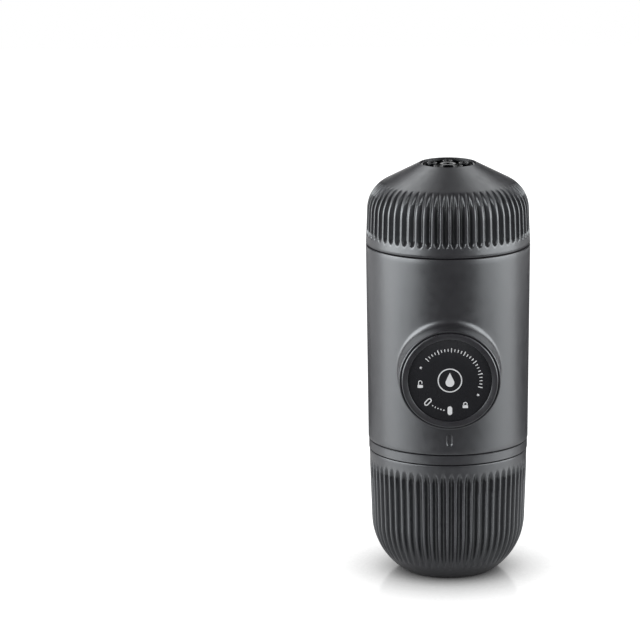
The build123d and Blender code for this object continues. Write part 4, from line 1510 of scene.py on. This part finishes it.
    def slot_outline(self, length: float, width: float, count: int = 32) -> np.ndarray:
        """Return the outline of a round-ended slot whose length runs along the first axis.

        Args:
            length: Its length over the round ends.
            width: Its width.
            count: Number of points.

        Returns:
            Its points.
        """
        points = self.circle(width / 2, count)
        points[:, 0] += np.where(points[:, 0] >= -ROUNDING_ERROR, 1, -1) * (length - width) / 2
        return points

    def at(self, radius: float, angle: float) -> np.ndarray:
        """Return the point of the disc at a radius and an angle."""
        return np.array([math.cos(angle), math.sin(angle)]) * radius

    def lay(self, points: np.ndarray, center: np.ndarray, angle: float, lift: float) -> np.ndarray:
        """Place flat points on the disc.

        Args:
            points: The flat points.
            center: Where their origin lies on the disc.
            angle: The direction of their first axis.
            lift: Their height above the disc's face.

        Returns:
            The points in space.
        """
        ahead = self.at(1, angle)
        side = np.array([-ahead[1], ahead[0]])
        flat = center + points[:, :1] * ahead + points[:, 1:] * side
        forward = np.full(len(flat), -self.dial.face - lift)
        return np.stack([flat[:, 0], forward, self.dial.level + flat[:, 1]], 1)

    def filled(self, outline: np.ndarray, center: np.ndarray, angle: float) -> bpy.types.Object:
        """Make a filled mark, a thin slab that stands on the disc.

        Args:
            outline: The mark's outline.
            center: Where its origin lies on the disc.
            angle: The direction of its first axis.

        Returns:
            The mark.
        """
        start_alone()
        bpy.ops.mesh.primitive_circle_add(vertices=len(outline), radius=1, fill_type="NGON")
        mark = bpy.context.object
        write_points(mark, self.lay(outline, center, angle, 0))
        edit(mark)
        bpy.ops.mesh.extrude_region_move(TRANSFORM_OT_translate={"value": (0, -self.dial.print_height, 0)})
        bpy.ops.object.mode_set(mode="OBJECT")
        return mark

    def line(self, path: np.ndarray, width: float, center: np.ndarray, angle: float, closed: bool,
             ) -> bpy.types.Object:
        """Make a mark drawn as a line of even width.

        Args:
            path: The line's points.
            width: Its width.
            center: Where its origin lies on the disc.
            angle: The direction of its first axis.
            closed: Whether the line is a loop.

        Returns:
            The mark.
        """
        ahead = np.roll(path, -1, 0) - np.roll(path, 1, 0)
        if not closed:
            ahead[0], ahead[-1] = path[1] - path[0], path[-1] - path[-2]
        side = np.stack([-ahead[:, 1], ahead[:, 0]], 1) / np.linalg.norm(ahead, axis=1)[:, None]
        edges = (path - side * width / 2, path + side * width / 2)
        count, height = len(path), self.dial.print_height
        section = ((0, 0), (1, 0), (1, height), (0, height))
        loops = np.array([self.lay(edges[edge], center, angle, lift) for edge, lift in section])
        mark = grid_sheet("line_mark", count + closed, len(section) + 1,
                          lambda across, up: loops[up % len(section), across % count])
        fill_ends(mark)
        return mark


# ---- Springs ----


@dataclass(frozen=True)
class CoilSpring:
    """Spring of round wire between the two bodies at its ends."""

    node: str
    moving: Body
    axis: tuple[float, float, float]
    wire: float
    turns: int
    sides: int = 12
    steps: int = 48

    def build(self) -> None:
        """Wind the spring along its axis, dress it and bake its place into its points."""
        low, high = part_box(self.node)
        size, middle, axis = high - low, (low + high) / 2, Vector(self.axis)
        reach = axis * (abs(size.dot(axis)) / 2 - self.wire)
        held, moved = middle - reach, middle + reach
        spring = self.wind(held, moved, size.x / 2 - self.wire)
        dress(spring, SPRING_WIRE, self.node)
        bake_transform(spring)

    def wind(self, held: Vector, moved: Vector, radius: float) -> bpy.types.Object:
        """Wind the wire about the line between two points.

        Args:
            held: The end that stays.
            moved: The end that moves.
            radius: The coil's radius to the middle of the wire.

        Returns:
            The closed spring.
        """
        rise = np.array(moved - held)
        side = np.array([1.0, 0.0, 0.0])
        cross = np.cross(rise / np.linalg.norm(rise), side)
        rows = self.turns * self.steps

        def place(across: np.ndarray, up: np.ndarray) -> np.ndarray:
            """Lay vertices on the wire's skin, at their columns' angles about the wire.

            Args:
                across: Column numbers.
                up: Row numbers.

            Returns:
                The places.
            """
            turn = (up * FULL_TURN / self.steps)[:, None]
            outwards = np.cos(turn) * side + np.sin(turn) * cross
            ahead = rise + (np.cos(turn) * cross - np.sin(turn) * side) * FULL_TURN * self.turns * radius
            upwards = np.cross(ahead / np.linalg.norm(ahead, axis=1)[:, None], outwards)
            angle = (across * FULL_TURN / self.sides)[:, None]
            skin = (np.cos(angle) * outwards + np.sin(angle) * upwards) * self.wire
            return np.array(held) + rise * (up / rows)[:, None] + outwards * radius + skin

        spring = grid_sheet(self.node + "_wire", self.sides + 1, rows + 1, place)
        fill_ends(spring)
        close_up(spring)
        return spring


SPRINGS = (
    CoilSpring("pump_spring", Body.PISTON, (0, -1, 0), 0.6 * MM, 7),
    CoilSpring("inlet_spring", Body.INLET, (0, 0, -1), 0.25 * MM, 4),
    CoilSpring("outlet_spring", Body.OUTLET, (0, 0, -1), 0.25 * MM, 4),
)


# ---- Studio ----


RAYS_THAT_SEE = ("Is Camera Ray", "Is Glossy Ray", "Is Transmission Ray")


def aimed(place: Vector, aim: Vector) -> Quaternion:
    """Return the turn that points a lamp or a camera from its place at a point."""
    return (aim - place).to_track_quat("-Z", "Y")


def around(angle: float, distance: float, level: float) -> Vector:
    """Return the place at a level, and at an angle and a distance from the upright axis.

    Args:
        angle: The angle from the front, towards the right.
        distance: The distance from the axis.
        level: The level.

    Returns:
        The place.
    """
    return Vector((math.sin(angle) * distance, -math.cos(angle) * distance, level))


@dataclass(frozen=True)
class Softbox:
    """Rectangular lamp with an even face."""

    name: str
    place: Vector
    aim: Vector
    width: float
    height: float
    radiance: float

    def hang(self) -> None:
        """Add the lamp and aim it."""
        data = bpy.data.lights.new(self.name, "AREA")
        data.shape = "RECTANGLE"
        data.size, data.size_y = self.width, self.height
        data.energy = self.radiance * math.pi * self.width * self.height
        lamp = bpy.data.objects.new(self.name, data)
        bpy.context.scene.collection.objects.link(lamp)
        lamp.location = self.place
        lamp.rotation_mode = "QUATERNION"
        lamp.rotation_quaternion = aimed(self.place, self.aim)


@dataclass(frozen=True)
class Card:
    """Dark card out of the camera's sight, for the darker parts of the maker's gloss."""

    name: str
    width: float
    height: float
    place: Sequence[float]
    turn: tuple[float, float, float] = (0, 0, 0)
    shades: bool = True

    def set_up(self) -> None:
        """Add the card."""
        start_alone()
        bpy.ops.mesh.primitive_plane_add(size=1, location=self.place, rotation=self.turn)
        card = bpy.context.object
        card.scale = (self.width, self.height, 1)
        card.name = self.name
        card.visible_camera = False
        card.visible_shadow = self.shades
        paint(card, CARD_BLACK)


@dataclass
class Studio:
    """Pale glossy floor, white surroundings, side and top softboxes, dark cards and the camera.

    The side boxes make the two soft bands down the body, and the cards its darker middle and edges. The floor
    glows by itself, and its glow is darkened by ambient occlusion near what stands on it into a painted
    contact shadow, so that only this shadow shows.
    """

    camera_distance: float = 1374.6 * MM
    camera_height: float = 409.2 * MM
    swing: float = math.radians(-1.0)
    aim_level: float = 78.5 * MM
    focal_pixels: float = 3750.7
    frame_pixels: int = 640
    aim_pixel: tuple[float, float] = (448.0, 364.8)
    sensor: float = 36.0
    clip: tuple[float, float] = (0.05, 60)

    floor_size: float = 2.6
    floor_glow: float = 1.7
    floor_mirrored_glow: float = 0.85
    floor_albedo: float = 0.5
    floor_seen_albedo: float = 0.12
    floor_roughness: float = 0.14
    floor_ior: float = 1.6
    # Reach, power and samples of the painted contact shadow, darkened into the floor's glow by ambient
    # occlusion.
    shadow_reach: float = 0.05
    shadow_power: float = 2.0
    shadow_samples: int = 8
    world_light: float = 0.35

    side_box_angles: tuple[float, float] = (math.radians(-72), math.radians(74))
    side_box_distance: float = 0.8
    side_box_level: float = 0.31
    side_box_size: tuple[float, float] = (1.0, 0.62)
    side_box_radiance: float = 5.3
    top_box_place: tuple[float, float, float] = (0.50, 0.62, 1.02)
    top_box_aim: float = 0.15
    top_box_size: tuple[float, float] = (0.66, 0.6)
    top_box_radiance: float = 1.9
    left_share: float = 1.15
    right_share: float = 0.9

    card_lift: float = 0.06
    front_card_size: float = 1.0
    front_card_distance: float = 0.95
    top_card_size: tuple[float, float] = (1.5, 1.7)
    top_card_place: tuple[float, float, float] = (0, -0.1, 1.2)
    flag_angle: float = math.radians(146)
    flag_distance: float = 1.0
    flag_size: float = 0.9
    floor_card_level: float = 1 * MM
    floor_cards: tuple[tuple[str, float, float, float, float], ...] = (
        ("front_floor_card", -0.5, 0.5, -1.13, -0.13),
        ("left_floor_card", -0.24, -0.02, 0.15, 0.65),
        ("right_floor_card", 0.02, 0.4, 0.1, 0.65),
    )

    def build(self) -> None:
        """Set up the camera, the floor, the surroundings, the lamps and the cards."""
        self.set_camera()
        self.lay_floor()
        self.light_world()
        for box in self.softboxes():
            box.hang()
        for card in self.cards():
            card.set_up()
        bpy.context.scene.view_settings.view_transform = "Standard"

    def softboxes(self) -> list[Softbox]:
        """Return the side boxes and the top boxes, the left ones a little brighter.

        Returns:
            The softboxes.
        """
        level, away = self.side_box_level, self.side_box_distance
        across, back, up = self.top_box_place
        side_aim, top_aim = Vector((0, 0, level)), Vector((0, 0, self.top_box_aim))
        boxes = []
        for name, side, share, angle in (("left", -1, self.left_share, self.side_box_angles[0]),
                                         ("right", 1, self.right_share, self.side_box_angles[1])):
            boxes.append(Softbox(f"{name}_box", around(angle, away, level), side_aim, *self.side_box_size,
                                 self.side_box_radiance * share))
            boxes.append(Softbox(f"{name}_top_box", Vector((side * across, back, up)), top_aim,
                                 *self.top_box_size, self.top_box_radiance * share))
        return boxes

    def cards(self) -> list[Card]:
        """Return the cards: in front, overhead, three flat on the floor, and two flags behind.

        Returns:
            The cards.
        """
        size, flag = self.front_card_size, self.flag_size
        cards = [
            Card("front_card", size, size, around(0, self.front_card_distance, self.card_lift + size / 2),
                 (QUARTER_TURN, 0, 0)),
            Card("top_card", *self.top_card_size, self.top_card_place),
        ]
        for name, left, right, near, far in self.floor_cards:
            place = ((left + right) / 2, (near + far) / 2, self.floor_card_level)
            cards.append(Card(name, right - left, far - near, place, shades=False))
        for name, angle in (("left_flag", -self.flag_angle), ("right_flag", self.flag_angle)):
            place = around(angle, self.flag_distance, self.card_lift + flag / 2)
            cards.append(Card(name, flag, flag, place, (QUARTER_TURN, 0, angle)))
        return cards

    def set_camera(self) -> None:
        """Aim the camera at the maker, then turn it so that the maker stands right of the middle."""
        data = bpy.data.cameras.new("camera")
        data.sensor_width = self.sensor
        data.lens = self.focal_pixels * self.sensor / self.frame_pixels
        data.clip_start, data.clip_end = self.clip
        camera = bpy.data.objects.new("camera", data)
        bpy.context.scene.collection.objects.link(camera)
        place = around(self.swing, self.camera_distance, self.camera_height)
        middle = self.frame_pixels / 2
        left = math.atan((self.aim_pixel[0] - middle) / self.focal_pixels)
        up = math.atan((self.aim_pixel[1] - middle) / self.focal_pixels)
        off_aim = Euler((up, left, 0)).to_quaternion()
        camera.location = place
        camera.rotation_mode = "QUATERNION"
        camera.rotation_quaternion = aimed(place, Vector((0, 0, self.aim_level))) @ off_aim
        bpy.context.scene.camera = camera

    def lay_floor(self) -> None:
        """Lay the floor: a little glossy, and white to what sees it but for a painted contact shadow at the
        foot, where its glow is darkened.
        """
        start_alone()
        bpy.ops.mesh.primitive_plane_add(size=self.floor_size)
        floor = bpy.context.object
        floor.name = "floor"
        graph = MaterialGraph("floor_white")
        graph.tree.nodes.remove(graph.shader)
        matt, glow = graph.add("ShaderNodeBsdfDiffuse"), graph.add("ShaderNodeEmission")
        gloss = graph.add("ShaderNodeBsdfGlossy", Roughness=self.floor_roughness)
        both, coated = graph.add("ShaderNodeAddShader"), graph.add("ShaderNodeMixShader")
        fresnel = graph.add("ShaderNodeFresnel", IOR=self.floor_ior)
        seen = graph.meets(*RAYS_THAT_SEE)
        albedo = graph.choose(seen, self.floor_albedo, self.floor_seen_albedo)
        graph.link(albedo, matt.inputs["Color"])
        graph.link(self.floor_glow_with_painted_shadow(graph, seen), glow.inputs["Strength"])
        graph.link(matt.outputs[0], both.inputs[0])
        graph.link(glow.outputs[0], both.inputs[1])
        graph.link(fresnel.outputs[0], coated.inputs[0])
        graph.link(both.outputs[0], coated.inputs[1])
        graph.link(gloss.outputs[0], coated.inputs[2])
        graph.link(coated.outputs[0], graph.output.inputs["Surface"])
        floor.data.materials.append(graph.material)

    def floor_glow_with_painted_shadow(self, graph: MaterialGraph, seen: bpy.types.NodeSocket) -> bpy.types.NodeSocket:
        """Add the floor's glow, darkened by ambient occlusion near what stands on it into a painted contact
        shadow.

        Args:
            graph: The floor's graph.
            seen: An output that is 1 for rays that see the floor and 0 for those that light others.

        Returns:
            The strength of the glow, with its painted shadow.
        """
        shadow_occlusion = graph.add("ShaderNodeAmbientOcclusion", Distance=self.shadow_reach, samples=self.shadow_samples)
        # Painted contact shadow: the glow falls with the open share of the sky near what stands on the floor,
        # in the camera's view and in the maker's reflections.
        painted_shadow_share = graph.calculate("POWER", shadow_occlusion.outputs["AO"], self.shadow_power)
        level = graph.choose(graph.meets("Is Camera Ray"), self.floor_mirrored_glow, self.floor_glow)
        return graph.calculate("MULTIPLY", graph.calculate("MULTIPLY", painted_shadow_share, level), seen)

    def light_world(self) -> None:
        """Make the surroundings white to the camera and in reflections, and dimmer as light."""
        world = bpy.data.worlds.new("surroundings")
        bpy.context.scene.world = world
        world.use_nodes = True
        graph = Graph(world.node_tree)
        back = graph.tree.nodes["Background"]
        back.inputs["Color"].default_value = (1, 1, 1, 1)
        graph.link(graph.choose(graph.meets(*RAYS_THAT_SEE), self.world_light, 1.0), back.inputs["Strength"])


def finish_nodes(nodes: dict[str, bpy.types.Object]) -> None:
    """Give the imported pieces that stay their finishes.

    Args:
        nodes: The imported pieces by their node's name.
    """
    for finish, names in NODE_FINISHES.items():
        for name in names:
            paint(nodes[name], finish)


def main() -> None:
    """Build the maker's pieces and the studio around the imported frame."""
    logging.basicConfig(level=logging.INFO, format="%(name)s: %(message)s")
    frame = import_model()
    finish_nodes(frame["nodes"])
    for assembly in (Cup(), Casing(), Dial(), Head(), Nozzle(), *SPRINGS, Studio()):
        assembly.build()


if __name__ == "__main__":
    main()
